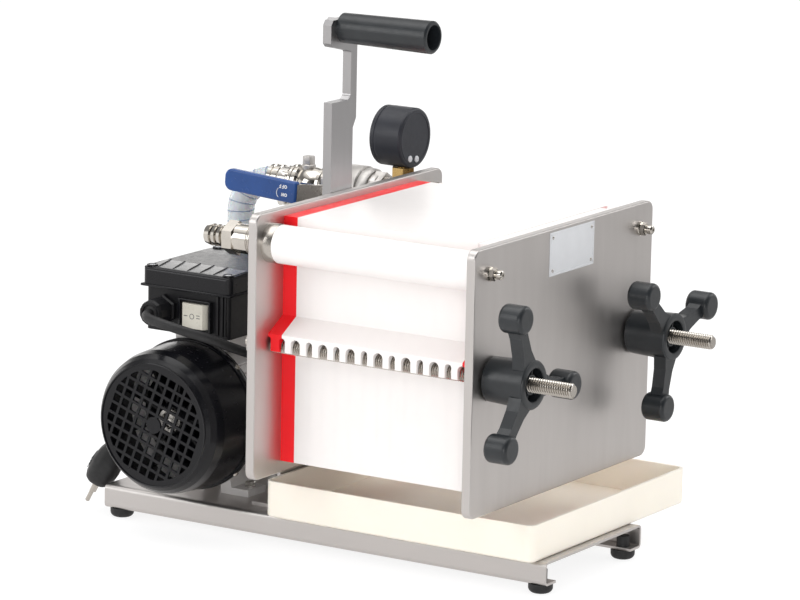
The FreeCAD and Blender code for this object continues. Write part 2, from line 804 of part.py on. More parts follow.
def cowl_outline():
    """The cowl's half section as (distance from the face, radius), outside line then inside line."""
    face, shoulder, wall = cowl_face_radius, cowl_shoulder, cowl_wall
    depth = motor_near + motor_ring - cowl_near
    widest = cowl_radius - cowl_flare
    rise = widest - face
    outer = [(0, face), (shoulder * 0.18, face + rise * 0.36), (shoulder * 0.5, face + rise * 0.76)]
    outer += [(shoulder, widest), (depth, cowl_radius)]
    inner = [(depth, cowl_radius - wall), (shoulder, widest - wall)]
    inner += [(shoulder * 0.5 + 0.8, face + rise * 0.76 - wall), (wall, face - wall * 0.6)]
    return outer, inner


def fan_cowl():
    """A moulded cowl: a rounded shell whose face is a grille of square holes set at a slant."""
    outer, inner = cowl_outline()
    rim = [(cowl_wall, grille_radius), (0, grille_radius)]
    shell = turned("cowl_shell", "+Y", outer + inner + rim, (motor_x, cowl_near, motor_z))
    bars = []
    reach = grille_radius + 2
    for count in range(-5, 6):
        middle = grille_pitch * count
        low, high = middle - grille_bar / 2, middle + grille_bar / 2
        bars.append(block(f"grille_upright_{count + 6}", (low, high), (0, cowl_wall), (-reach, reach)))
        bars.append(block(f"grille_cross_{count + 6}", (-reach, reach), (0, cowl_wall), (low, high)))
    lattice = fused("grille_lattice", bars)
    slanted = copy_of("grille_slanted", lattice, motor_x, cowl_near, motor_z, Rotation(AXIS["Y"], 20))
    disc = bar("grille_disc", "Y", grille_radius + 0.5, cowl_wall, (motor_x, cowl_near, motor_z))
    hub = bar("grille_middle", "Y", fan_hub * 0.5, cowl_wall, (motor_x, cowl_near, motor_z))
    return fused("fan_cowl", [shell, shared("grille", slanted, disc), hub])


def cooling_fan():
    """The fan on the motor's rear shaft end: a hub with nine straight blades and a back disc."""
    start = motor_near - shaft_reach
    bore = shaft_radius + seat_gap
    points = [(-5, 0), (-5, fan_hub * 0.8), (-2, fan_hub), (fan_depth - 2, fan_hub)]
    points += [(fan_depth - 2, fan_radius * 0.8), (fan_depth, fan_radius * 0.8), (fan_depth, bore)]
    points += [(-seat_gap, bore), (-seat_gap, 0)]
    pieces = [turned("fan_hub_and_disc", "+Y", points, (motor_x, start, motor_z))]
    half = blade_sheet / 2
    blade = block("fan_blade", (fan_hub - 2, fan_radius), (0, fan_depth - 1), (-half, half))
    for count in range(9):
        turn = Rotation(AXIS["Y"], 40 * count)
        pieces.append(copy_of(f"fan_blade_{count + 1}", blade, motor_x, start, motor_z, turn))
    return fused("cooling_fan", pieces)


# ---------------------------------------------------------------- terminal box and switch

switch_z = box_bottom + switch_rise
box_right = box_left + box_length
pivot_y = box_near + switch_pivot


def terminal_box():
    low, high = box_bottom, box_bottom + box_height
    body = extruded("terminal_box", "XY_Plane", [(0, 0), (box_length, 0), (box_length, box_width), (0, box_width)],
                    box_height, (box_left, box_near, low))
    rounded(body, 4, lambda edge: lies_along(edge, AXIS["Z"]))
    across = rocker_radius + seat_gap
    up = rocker_height / 2 + seat_gap
    middle, height = switch_x - box_left, switch_rise
    window = [(middle - across, height - up), (middle + across, height - up)]
    window += [(middle + across, height + up), (middle - across, height + up)]
    pocket(body, "XZ_Plane", outline(body, "XZ_Plane", window), switch_pivot + rocker_radius + 1)
    return body


def terminal_lid():
    """A lid that falls a little to its two ends: three outlines crossed, each with rounded corners."""
    low = box_bottom + box_height
    near, far = box_near - lid_overhang, box_near + box_width + lid_overhang
    left, right = box_left - lid_overhang, box_right + lid_overhang
    top, brow = low + lid_height, low + lid_edge
    along = [(near, low), (near, brow), (near + lid_slope, top), (far - lid_slope, top), (far, brow), (far, low)]
    across = [(left, low), (left, top), (right, top), (right, low)]
    plan = [(left, near), (right, near), (right, far), (left, far)]
    long_way = extruded("lid_long_way", "YZ_Plane", along, right - left, (left, 0, 0))
    ends = [number(near), number(far)]
    rounded(long_way, lid_round, lambda edge: lies_along(edge, AXIS["X"]) and (
        edge.CenterOfMass.z > number(low) + 1 and min(abs(edge.CenterOfMass.y - end) for end in ends) < 0.01))
    short_way = extruded("lid_short_way", "XZ_Plane", across, far - near, (0, near, 0))
    rounded(short_way, lid_round, lambda edge: lies_along(edge, AXIS["Y"]) and edge.CenterOfMass.z > number(low) + 1)
    upright = extruded("lid_upright", "XY_Plane", plan, lid_height, (0, 0, low))
    rounded(upright, lid_corner, lambda edge: lies_along(edge, AXIS["Z"]))
    return shared("terminal_lid", shared("lid_roof", long_way, short_way), upright)


def switch_frame():
    across = rocker_radius + seat_gap
    up = rocker_height / 2 + seat_gap
    ys = (box_near - switch_sheet, box_near)
    rim = switch_rim
    plate = block("switch_plate", (switch_x - across - rim, switch_x + across + rim), ys,
                  (switch_z - up - rim, switch_z + up + rim))
    hole = block("switch_hole", (switch_x - across, switch_x + across), ys, (switch_z - up, switch_z + up))
    return cut("switch_frame", plate, hole)


def rocker_switch():
    """The rocker turns about an upright pin, so its back is part of a cylinder round that pin."""
    half = rocker_height / 2
    barrel = bar("rocker_barrel", "Z", rocker_radius, rocker_height, (switch_x, pivot_y, switch_z - half))
    xs = (switch_x - rocker_radius, switch_x + rocker_radius)
    slab = block("rocker_slab", xs, (pivot_y - rocker_front, pivot_y + rocker_back),
                 (switch_z - half, switch_z + half))
    return shared("rocker_switch", barrel, slab)


def cable_gland():
    z = box_bottom + gland_rise
    end = box_near - gland_collar
    collar = hex_bar("gland_hex", "Y", gland_across, gland_collar, (gland_x, end, z), 30)
    dome = gland_across / 2
    span = gland_length - gland_collar
    points = [(0, 0), (0, dome), (span - 4, dome * 0.95), (span, gland_mouth), (span, 0)]
    return fused("cable_gland", [collar, turned("gland_dome", "-Y", points, (gland_x, end, z))])


# ---------------------------------------------------------------- pump and hose tails


def barbs(start, count):
    """The outer line of a barbed spigot: saw teeth that fall towards the tip."""
    points = []
    for tooth in range(count):
        points.append((start + barb_pitch * tooth, barb_radius))
        points.append((start + barb_pitch * (tooth + 1), barb_root))
    return points


def pump_body():
    points = [(0, 0), (0, motor_nose), (pump_flange, motor_nose), (pump_flange, pump_radius * 0.75)]
    front = pump_flange + pump_waist
    points += [(front, pump_radius * 0.75), (front, pump_radius), (front + pump_depth - 4, pump_radius)]
    points += [(front + pump_depth, pump_radius - 4), (front + pump_depth, 0)]
    barrel = turned("pump_barrel", "+Y", points, (motor_x, motor_far, motor_z))
    boss_points = [(0, 0), (0, port_boss), (pump_radius + 4, port_boss), (pump_radius + 4, 0)]
    boss = turned("pump_port_boss", PORT_TURN, boss_points, (motor_x, port_y, motor_z))
    return fused("pump_body", [barrel, boss])


# the outlet port points up and to the left, half way between the two
PORT_TURN = Rotation(AXIS["Y"], -135)
PORT_WAY = Vector(-math.sqrt(0.5), 0, math.sqrt(0.5))


def pump_outlet_tail():
    start = pump_radius + 4
    points = [(start, tail_bore), (start, port_boss), (start + suction_nut, port_boss)]
    points += [(start + suction_nut, hose_bore - fit_gap), (start + suction_nut + spigot_length, hose_bore - fit_gap)]
    points += [(start + suction_nut + spigot_length, tail_bore)]
    return turned("pump_outlet_tail", PORT_TURN, points, (motor_x, port_y, motor_z))


def inlet_hose_tail():
    start = motor_far + pump_flange + pump_waist + pump_depth
    nut = hex_bar("inlet_nut", "Y", tail_nut_across, suction_nut, (motor_x, start, motor_z))
    points = [(0, 0), (0, barb_root)] + [(suction_nut, barb_root)] + barbs(suction_nut, 4)
    tip = suction_nut + barb_pitch * 4
    points += [(tip, 0)]
    whole = fused("inlet_tail_whole", [nut, turned("inlet_barbs", "+Y", points, (motor_x, start, motor_z))])
    bore = bar("inlet_bore", "Y", tail_bore, tip, (motor_x, start, motor_z))
    return cut("inlet_hose_tail", whole, bore)


def outlet_hose_tail():
    """The near channel's outlet: a ring on the plate, a nut and a barbed spigot, bored through."""
    nut_end = tail_ring + tail_nut
    tip = nut_end + barb_pitch * 4
    points = [(-plate_sheet, 0), (-plate_sheet, channel_bore), (0, channel_bore), (0, tail_ring_radius)]
    points += [(tail_ring, tail_ring_radius), (tail_ring, barb_root), (nut_end, barb_root)]
    points += barbs(nut_end, 4) + [(tip, 0)]
    turned_part = turned("outlet_spigot", "-X", points, (rear_back, near_channel, channel_z))
    start = (rear_back - nut_end, near_channel, channel_z)
    nut = hex_bar("outlet_nut", "X", tail_nut_across, tail_nut, start)
    whole = fused("outlet_tail_whole", [turned_part, nut])
    bore = bar("outlet_bore", "X", tail_bore, tip + plate_sheet, (rear_back - tip, near_channel, channel_z))
    return cut("outlet_hose_tail", whole, bore)


# ---------------------------------------------------------------- valve line on the far channel


def channel_tee():
    points = [(-plate_sheet, 0), (-plate_sheet, channel_bore), (0, channel_bore), (0, tee_radius)]
    points += [(tee_length, tee_radius), (tee_length, thread_radius), (tee_length + tee_thread, thread_radius)]
    points += [(tee_length + tee_thread, 0)]
    run = turned("tee_run", "-X", points, (rear_back, far_channel, channel_z))
    boss = bar("tee_boss", "Z", 10, tee_boss, (gauge_x, far_channel, channel_z))
    return fused("channel_tee", [run, boss])


def ball_valve_body():
    """Two hexagon ends on a round belly, with a gland for the stem on the near side."""
    end = valve_start - valve_length
    near_hex = hex_bar("valve_hex_right", "X", valve_across, valve_end, (valve_start - valve_end, far_channel, channel_z))
    far_hex = hex_bar("valve_hex_left", "X", valve_across, valve_end, (end, far_channel, channel_z))
    waist, belly = valve_across * 0.42, valve_radius
    half = valve_length / 2
    points = [(valve_end - 1, 0), (valve_end - 1, waist), (valve_end, waist), (half - 7, belly), (half + 7, belly)]
    points += [(valve_length - valve_end, waist), (valve_length - valve_end + 1, waist)]
    points += [(valve_length - valve_end + 1, 0)]
    middle = turned("valve_belly", "-X", points, (valve_start, far_channel, channel_z))
    low = far_channel - valve_boss
    boss = bar("valve_stem_boss", "Y", valve_boss_radius, valve_boss, (valve_x, low, channel_z))
    solid = fused("valve_solid", [near_hex, far_hex, middle, boss])
    bore = bar("valve_stem_bore", "Y", stem_radius + fit_gap, 12 + fit_gap, (valve_x, low, channel_z))
    return cut("ball_valve_body", solid, bore)


LEVER_TURN = Rotation(AXIS["Y"], 3.8)
LEVER_45 = math.sqrt(2) - 1


def valve_lever():
    """A bent steel strip on the stem, seen from above as a line with a 45 degree jog."""
    half, jog, reach = lever_sheet / 2, lever_jog, lever_jog_start
    shift = half * LEVER_45
    line = [(lever_tail, -half), (-reach + shift, -half), (-reach - jog + shift, -jog - half)]
    line += [(-lever_length, -jog - half), (-lever_length, half - jog)]
    line += [(-reach - jog - shift, half - jog), (-reach - shift, half), (lever_tail, half)]
    strip = extruded("lever_strip_bent", "XY_Plane", line, lever_strip, (0, 0, -lever_strip / 2))
    tip = number(-lever_length)
    rounded(strip, lever_round, lambda edge: lies_along(edge, AXIS["Y"]) and abs(edge.CenterOfMass.x - tip) < 0.01)
    boss_gap = lever_offset - valve_boss
    stem = bar("lever_stem", "Y", stem_radius, 11 + boss_gap, (0, 0, 0))
    nut = hex_bar("lever_nut", "Y", 10, 4, (0, -half - 4, 0))
    whole = fused("valve_lever_whole", [strip, stem, nut])
    return copy_of("valve_lever", whole, valve_x, far_channel - lever_offset, channel_z, LEVER_TURN)


def lever_sleeve():
    """A dipped plastic sleeve over the strip's straight end."""
    thick, width = sleeve_thick / 2, sleeve_width / 2
    start = lever_length - sleeve_length + sleeve_thick / 4
    end = lever_length + sleeve_thick / 4
    points = [(-end, -width), (-start, -width), (-start, width), (-end, width)]
    body = new_body("lever_sleeve_solid")
    role = "XZ_Plane"
    pad(body, role, outline(body, role, points, -lever_jog - thick), sleeve_thick)
    tip, mouth = number(-end), -start + 1
    rounded(body, sleeve_corner, lambda edge: lies_along(edge, AXIS["Y"]) and abs(edge.CenterOfMass.x - tip) < 0.01)
    rounded(body, sleeve_thick * 0.3, lambda edge: True)
    half, strip = lever_sheet / 2, lever_strip / 2
    slot = [(-lever_length, -strip), (mouth, -strip), (mouth, strip), (-lever_length, strip)]
    inside = extruded("sleeve_slot", role, slot, lever_sheet, (0, -half - lever_jog, 0))
    bottom = number(-lever_length)
    rounded(inside, lever_round, lambda edge: lies_along(edge, AXIS["Y"]) and (
        abs(edge.CenterOfMass.x - bottom) < 0.01))
    whole = cut("lever_sleeve_whole", body, inside)
    return copy_of("lever_sleeve", whole, valve_x, far_channel - lever_offset, channel_z, LEVER_TURN)


def valve_union():
    nut_end = union_thread + union_nut
    spigot = hose_bore - fit_gap
    points = [(0, 0), (0, thread_radius), (nut_end, thread_radius), (nut_end, union_radius)]
    points += [(union_length, union_radius), (union_length, spigot), (union_length + spigot_length, spigot)]
    points += [(union_length + spigot_length, 0)]
    run = turned("union_run", "-X", points, (union_start, far_channel, channel_z))
    nut = hex_bar("union_nut", "X", union_across, union_nut, (union_start - nut_end, far_channel, channel_z))
    vent_points = [(0, 0), (0, vent_radius), (vent_height - 8, vent_radius), (vent_height - 8, vent_radius + 1.5)]
    vent_points += [(vent_height, vent_radius + 1.5), (vent_height, 0)]
    vent = turned("union_vent", "+Z", vent_points, (union_start - vent_offset, far_channel, channel_z))
    return fused("valve_union", [run, nut, vent])


def hose_clamp(name, at, turn):
    """A worm-drive band with its screw housing, made round +X and turned into place."""
    inner = hose_radius + 0.05
    outer = inner + clamp_sheet
    width = clamp_width
    band = turned(f"{name}_band", "+X", [(0, inner), (width, inner), (width, outer), (0, outer)], (0, 0, 0))
    low = outer + 7
    housing = block(f"{name}_housing", (0.5, width - 0.5), (-6, 6), (-low, -outer + 0.3))
    screw = bar(f"{name}_screw", "Y", 3, 19, (width / 2, -11, -low + 3.5))
    whole = fused(f"{name}_whole", [band, housing, screw])
    return copy_of(name, whole, *at, turn)


def hose_clamps():
    upper = hose_clamp("clamp_upper", (hose_start - clamp_width - 3, far_channel, channel_z), Rotation())
    away = pump_radius + 4 + suction_nut + 3
    x = motor_x + away * PORT_WAY.x
    z = motor_z + away * PORT_WAY.z
    lower = hose_clamp("clamp_lower", (x, port_y, z), PORT_TURN)
    return apart("hose_clamps", [upper, lower])


def pressure_gauge():
    """A round case whose dial looks towards -X, with a raised bezel."""
    radius, depth = gauge_radius, gauge_depth
    points = [(0, 0), (0, radius - 1.8), (0.5, radius - 0.6), (1.8, radius), (depth - 3, radius)]
    points += [(depth, radius - 0.8)]
    points += [(depth, radius - gauge_bezel), (depth - 1.5, radius - gauge_bezel), (depth - 1.5, 0)]
    at = (rear_back - gauge_back, far_channel, gauge_z)
    return turned("pressure_gauge", "-X", points, at)


def gauge_stem():
    low = channel_z + tee_boss
    top = gauge_z - gauge_radius
    nut = hex_bar("gauge_nut", "Z", stem_across, stem_hex, (gauge_x, far_channel, low))
    neck = bar("gauge_neck", "Z", 5, top - low, (gauge_x, far_channel, low))
    return fused("gauge_stem", [nut, neck])


# ---------------------------------------------------------------- carrying handle


def handle_bar():
    """A flat bar on the rear plate's back with a C-shaped notch and a head that holds the grip."""
    top_edge = rear_plate_height + plate_bottom
    shoulder = top_edge + handle_shoulder
    low = top_edge - handle_foot
    near, far = handle_y - handle_half, handle_y + handle_half
    neck_near, neck_far = handle_y + handle_neck_near, handle_y + handle_neck_far
    notch_top = shoulder + handle_notch + 3
    top = notch_top + handle_head
    points = [(near, low), (far, low), (far, shoulder - 24), (neck_far, shoulder - 16), (neck_far, top - 4)]
    points += [(neck_far - 4, top), (near, top), (near - 3, top - 4), (near - 3, notch_top + 10)]
    points += [(near, notch_top + 7), (neck_near - 1, notch_top + 1), (neck_near, notch_top)]
    points += [(neck_near, shoulder + 3), (neck_near - 4, shoulder)]
    points += [(near, shoulder)]
    body = extruded("handle_flat", "YZ_Plane", points, handle_sheet, (rear_back - handle_sheet, 0, 0))
    corner = number(neck_near)
    rounded(body, 3, lambda edge: lies_along(edge, AXIS["X"]) and abs(edge.CenterOfMass.y - corner) < 0.01)
    bolt_z = plate_bottom + rear_plate_height + grip_rise
    start = rear_back - handle_sheet - grip_bolt_head
    shank_length = grip_bolt_head + handle_sheet + grip_bolt_seat
    shank = bar("handle_bolt_shank", "X", grip_bolt, shank_length, (start, handle_y, bolt_z))
    head = hex_bar("handle_bolt_head", "X", grip_bolt_across, grip_bolt_head, (start, handle_y, bolt_z))
    return fused("handle_bar", [body, shank, head])


def handle_grip():
    z = plate_bottom + rear_plate_height + grip_rise
    length = grip_length
    points = [(0, 0), (0, grip_radius), (length - 1.5, grip_end_radius), (length, grip_end_radius - 1.5)]
    points += [(length, grip_bore), (length - grip_bore_depth, grip_bore), (length - grip_bore_depth, 0)]
    body = turned("grip_whole", "+X", points, (rear_back, handle_y, z))
    hole = bar("grip_bolt_hole", "X", grip_bolt + fit_gap, grip_bolt_seat + fit_gap, (rear_back, handle_y, z))
    return cut("handle_grip", body, hole)


# ---------------------------------------------------------------- hand knobs and bleed valves


def hand_knob(name, sign, phase):
    """A three-lobed hand knob: a turned hub, three ribs and three rounded lobes, made round +X."""
    body = new_body(f"{name}_casting")
    start, end = knob_gap, knob_gap + knob_length
    floor = end - knob_mouth_depth
    bore = rod_radius + fit_gap
    points = [(start, bore), (start, knob_hub - knob_taper), (end - 1, knob_hub), (end, knob_hub - 1)]
    points += [(end, knob_mouth), (floor, knob_mouth), (floor, bore)]
    hub = body.newObject("PartDesign::Revolution", f"{name}_hub")
    sketch = outline(body, "XZ_Plane", points)
    hub.Profile = sketch
    hub.ReferenceAxis = (sketch, ["H_Axis"])
    hub.Angle = 360
    body.Tip = hub
    role = "YZ_Plane"
    reach = knob_reach - lobe_radius / 2
    arm = [(knob_hub - 2, -9), (knob_hub + 8, -6), (reach - 10, -5), (reach, -6.5)]
    arm += [(reach, 6.5), (reach - 10, 5), (knob_hub + 8, 6), (knob_hub - 2, 9)]
    rib = pad(body, role, outline(body, role, arm, knob_arm_start), knob_arm_sheet)
    lobe_start = knob_arm_start + knob_arm_sheet / 2 - lobe_length / 2
    lobe = pad(body, role, circle(body, role, (knob_reach, 0), lobe_radius, lobe_start), lobe_length)
    doc.recompute()
    round_body = body.newObject("PartDesign::PolarPattern", f"{name}_three")
    round_body.Originals = [rib, lobe]
    round_body.Axis = (sketch, ["H_Axis"])
    round_body.Angle = 360
    round_body.Occurrences = 3
    body.Tip = round_body
    wanted = number(lobe_radius)

    def lobe_rim(edge):
        return isinstance(edge.Curve, Part.Circle) and abs(edge.Curve.Radius - wanted) < 0.01 and (
            edge.Length > wanted * 6)

    rounded(body, lobe_round, lobe_rim)
    at = (press_front, mid_line + sign * rod_spread, rod_z)
    return copy_of(name, body, *at, Rotation(AXIS["X"], phase))


def bleed_valve(name, sign):
    flange, length = 2, bleed_length
    points = [(-plate_sheet, 0), (-plate_sheet, channel_bore), (0, channel_bore), (0, bleed_radius)]
    points += [(flange, bleed_radius), (flange, 4), (length - 4, 4), (length - 4, 4.8), (length - 1, 4.8)]
    points += [(length, 3.8), (length, 0)]
    y = mid_line + sign * channel_spread
    plug = turned(f"{name}_plug", "+X", points, (press_front, y, channel_z))
    nut = hex_bar(f"{name}_nut", "X", bleed_across, 6, (press_front + flange, y, channel_z))
    return fused(name, [plug, nut])


# ---------------------------------------------------------------- hose, cord and plug


def route_of(points, name, radii=None):
    """Straight runs joined by tangent arcs, each arc as large as its two runs allow."""
    edges = []
    here = points[0]
    report = []
    for count in range(1, len(points) - 1):
        before, corner, after = points[count - 1:count + 2]
        into = (corner - before).normalize()
        out = (after - corner).normalize()
        turn = into.getAngle(out)
        shorter = min(before.distanceToPoint(corner), corner.distanceToPoint(after))
        radius = 0.45 * shorter / math.tan(turn / 2)
        if radii:
            radius = radii[count - 1]
        back = radius * math.tan(turn / 2)
        start, end = corner - into * back, corner + out * back
        sink = radius / math.cos(turn / 2) - radius
        middle = corner + (out - into).normalize() * sink
        if here.distanceToPoint(start) > 1e-6:
            edges.append(Part.LineSegment(here, start).toShape())
        edges.append(Part.Arc(start, middle, end).toShape())
        report.append(round(radius, 1))
        here = end
    edges.append(Part.LineSegment(here, points[-1]).toShape())
    route = Part.Wire(edges)
    print(f"{name}: length {route.Length:.1f}, arc radii {report}")
    return route


def tube_along(route, radius):
    first = route.OrderedEdges[0]
    start = first.valueAt(first.FirstParameter)
    ring = Part.Wire(Part.makeCircle(radius, start, first.tangentAt(first.FirstParameter)))
    solid = route.makePipeShell([ring], True, False)
    expected = math.pi * radius ** 2 * route.Length
    if abs(solid.Volume / expected - 1) > 0.01:
        raise RuntimeError("a tube does not follow its route")
    return solid


def transfer_hose():
    """A clear spiral hose from the pump's outlet to the valve line, held at both ends."""
    x, y, z = number(hose_start), number(far_channel), number(channel_z)
    side = number(port_y)
    foot = number(pump_radius + port_nut_offset + suction_nut)
    port = Vector(number(motor_x), side, number(motor_z))
    fall = x - number(hose_fall)
    bend = port + PORT_WAY * ((fall - port.x) / PORT_WAY.x)
    points = [Vector(x, y, z), Vector(x - number(hose_lead), y, z), Vector(fall, side, z), bend]
    points.append(port + PORT_WAY * foot)
    bends = [number(bend_size) for bend_size in (hose_first_bend, hose_middle_bend, hose_last_bend)]
    route = route_of(points, "transfer_hose", bends)
    shape = tube_along(route, number(hose_radius)).cut(tube_along(route, number(hose_bore)))
    item = doc.addObject("Part::Feature", "transfer_hose")
    item.Shape = shape
    return item


# The cord's own points, chosen by hand. It leaves the gland, falls behind the rear plate to the
# floor, is coiled there, and comes back over the base's left end to its plug.
CORD_TO_COIL = [
    (-165, -126.2, 189.3), (-161.5, -138, 189), (-149, -148.5, 188.5), (-132, -152.5, 186.5), (-115, -147.5, 182.5),
    (-100.5, -134, 176.5), (-91, -114, 168.5), (-83.5, -89, 158.5), (-76.5, -60, 145.5), (-73, -29, 130),
    (-73.5, 3, 110), (-77.5, 32, 86), (-84, 57, 63), (-90.5, 76, 44), (-98, 92, 27), (-105.5, 106, 13.5),
    (-110.5, 120, 6.5), (-112.5, 134, 4.2),
]
CORD_TO_PLUG = [
    (-208.5, 136, 4.2), (-211, 119, 7), (-216, 103, 16.5), (-219.5, 87, 31), (-222, 70, 41.5), (-222.5, 50, 44),
    (-223, 31, 56), (-223, 19, 77), (-223, 5, 97), (-223, -16, 108.5), (-223, -39, 108), (-222, -59, 97),
    (-227, -70, 77.6), (-235.3, -71, 60.1),
]
COIL_CENTRE = (-160, 128)


def cord_tube(name, points):
    route = route_of([Vector(*point) for point in points], name)
    item = doc.addObject("Part::Feature", name)
    item.Shape = tube_along(route, number(cord_radius))
    return item


def power_cord():
    return apart("power_cord", [cord_tube("cord_to_coil", CORD_TO_COIL), cord_tube("cord_to_plug", CORD_TO_PLUG)])


def cord_coil():
    inner, outer, tall = 36, 52, 16
    points = [(0, inner), (0, outer), (tall, outer), (tall, inner)]
    return turned("cord_coil", "+Z", points, (*COIL_CENTRE, 0.2))


def plug():
    """A moulded two-pin plug, leaning on the base's left end with its pins down."""
    points = [(-14, 0), (14, 0), (14, 12), (8, 30), (8, 40), (-8, 40), (-8, 30), (-14, 12)]
    wide = extruded("plug_wide", "YZ_Plane", points, 24, (-12, 0, 0))
    points = [(-9, 0), (9, 0), (9, 14), (6, 32), (6, 40), (-6, 40), (-6, 32), (-9, 14)]
    thin = extruded("plug_thin", "XZ_Plane", points, 32, (0, -16, 0))
    pieces = [shared("plug_body", wide, thin)]
    for side, y in (("near", -9.5), ("far", 9.5)):
        pieces.append(bar(f"plug_pin_{side}", "Z", 2.4, 19.5, (0, y, -19)))
    whole = fused("plug_whole", pieces)
    return copy_of("plug", whole, -254.5, -71, 25, Rotation(AXIS["Y"], 28.7))


def build_drive():
    parts = [motor_body(), fan_cowl(), cooling_fan(), terminal_box(), terminal_lid(), switch_frame()]
    parts += [rocker_switch(), cable_gland(), pump_body(), inlet_hose_tail(), pump_outlet_tail()]
    return parts


def build_fittings():
    parts = [outlet_hose_tail(), channel_tee(), ball_valve_body(), valve_lever(), lever_sleeve(), valve_union()]
    parts += [hose_clamps(), pressure_gauge(), gauge_stem(), handle_bar(), handle_grip()]
    parts += [hand_knob("hand_knob_near", -1, -10), hand_knob("hand_knob_far", 1, 16.6)]
    parts += [bleed_valve("bleed_valve_near", -1), bleed_valve("bleed_valve_far", 1)]
    return parts


def build_cords():
    return [transfer_hose(), power_cord(), cord_coil(), plug()]


# ---------------------------------------------------------------- checking and writing


def write(parts):
    doc.recompute()
    for item in doc.Objects:
        if "Invalid" in item.State or "Error" in item.State:
            raise RuntimeError(f"{item.Name} did not compute")
    os.makedirs("parts", exist_ok=True)
    for item in parts:
        item.Label = item.Name
        shape = item.Shape
        if shape.isNull() or not shape.isValid():
            raise RuntimeError(f"{item.Name} has no valid shape")
        shape.exportStep(f"parts/{item.Label}.step")


write(build_stainless() + build_stack() + build_drive() + build_fittings() + build_cords())
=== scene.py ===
import math

import bmesh
import bpy
from mathutils import Matrix, Vector


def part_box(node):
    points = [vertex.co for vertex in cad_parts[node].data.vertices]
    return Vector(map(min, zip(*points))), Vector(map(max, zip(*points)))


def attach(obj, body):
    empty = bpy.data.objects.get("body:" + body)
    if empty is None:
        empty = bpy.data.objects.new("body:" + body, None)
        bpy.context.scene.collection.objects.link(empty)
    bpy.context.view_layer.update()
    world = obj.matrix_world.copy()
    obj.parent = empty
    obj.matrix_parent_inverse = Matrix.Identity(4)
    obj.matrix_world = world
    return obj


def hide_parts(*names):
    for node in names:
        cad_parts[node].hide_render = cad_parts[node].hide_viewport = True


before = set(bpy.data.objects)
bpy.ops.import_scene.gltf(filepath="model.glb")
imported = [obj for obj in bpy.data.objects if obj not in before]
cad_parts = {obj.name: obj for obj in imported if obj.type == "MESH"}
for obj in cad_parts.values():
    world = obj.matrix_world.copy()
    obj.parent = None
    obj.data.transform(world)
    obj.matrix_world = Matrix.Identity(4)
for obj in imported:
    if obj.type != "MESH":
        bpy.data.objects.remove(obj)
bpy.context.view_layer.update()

# The object is written in millimetres in the row frame, and piece() turns it into metres.
# The camera, the floor and the lamps are in metres.
X, Y, Z = Vector((1, 0, 0)), Vector((0, 1, 0)), Vector((0, 0, 1))
MM = 0.001
SQUARE = ((-1, -1), (1, -1), (1, 1), (-1, 1))

# Places that several pieces share, as the CAD has them
MOTOR_LINE = Vector((-150, 0, 100.3))  # along Y: fan, cowl, motor and pump
FAR_CHANNEL = Vector((0, 108, 263.7))  # along X: tee, valve, union and the hose's start
NEAR_CHANNEL = Vector((0, -130, 263.7))  # along X: the outlet tail
GAUGE_LINE = Vector((0, 108, 315))  # along X
GLAND_AT = Vector((-165, -103, 189.3))
REAR_PLATE_FACE = -43.5


def box(node):
    """The lowest and highest corners of a CAD node in millimetres."""
    low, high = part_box(node)
    return Vector(low) / MM, Vector(high) / MM


def middle(node):
    low, high = box(node)
    return (low + high) / 2


def touch(node, at, way):
    """Where a line in millimetres from at along way first meets a CAD node, or None."""
    hit, spot, _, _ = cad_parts[node].ray_cast(Vector(at) * MM, Vector(way).normalized())
    return spot / MM if hit else None


def linked(name, data):
    """A new object in the scene."""
    item = bpy.data.objects.new(name, data)
    bpy.context.scene.collection.objects.link(item)
    return item


# ---- camera

def make_camera():
    """A long lens at the photograph's view, from the near right and a little above."""
    data = bpy.data.cameras.new("camera")
    camera = linked("camera", data)
    right, up, back = (0.8455, 0.5337, 0.0203), (-0.1250, 0.1607, 0.9791), (0.5193, -0.8303, 0.2025)
    turn = Matrix((right, up, back)).transposed().to_4x4()
    camera.matrix_world = Matrix.Translation((1.9973, -3.1959, 0.9796)) @ turn
    data.sensor_width = 36
    data.lens = 211.14
    data.shift_x, data.shift_y = -0.0011, 0.0013
    data.clip_end = 60
    bpy.context.scene.camera = camera


# ---- mesh kit

def basis(way):
    """Three axes with the given direction as the first."""
    first = Vector(way).normalized()
    helper = Z if abs(first.z) < 0.9 else X
    second = helper.cross(first).normalized()
    return first, second, first.cross(second)


def ring(bm, centre, second, third, radius, count, phase=0.0):
    """A circle of new vertices in the plane of two axes."""
    made = []
    for step in range(count):
        angle = phase + 2 * math.pi * step / count
        spot = centre + second * (radius * math.cos(angle))
        made.append(bm.verts.new(spot + third * (radius * math.sin(angle))))
    return made


def bridge(bm, one, other):
    """A band of faces between two rings."""
    for step in range(len(one)):
        after = (step + 1) % len(one)
        bm.faces.new((one[step], one[after], other[after], other[step]))


def lathe(bm, profile, at, way, count=40, phase=0.0):
    """Turns a line of (distance along way, radius) round way; a radius of 0 closes it to a point."""
    first, second, third = basis(way)
    last = None
    for along, radius in profile:
        centre = Vector(at) + first * along
        closed = radius <= 1e-6
        here = [bm.verts.new(centre)] if closed else ring(bm, centre, second, third, radius, count, phase)
        if last is not None and len(last) == len(here) == count:
            bridge(bm, last, here)
        elif last is not None and len(last) + len(here) == count + 1:
            hub, rim = (last[0], here) if len(last) == 1 else (here[0], last)
            for step in range(count):
                bm.faces.new((hub, rim[step], rim[(step + 1) % count]))
        last = here


def collar(bm, profile, at, way, count=40):
    """Turns a closed outline of (distance along way, radius) round way."""
    lathe(bm, list(profile) + [profile[0]], at, way, count)


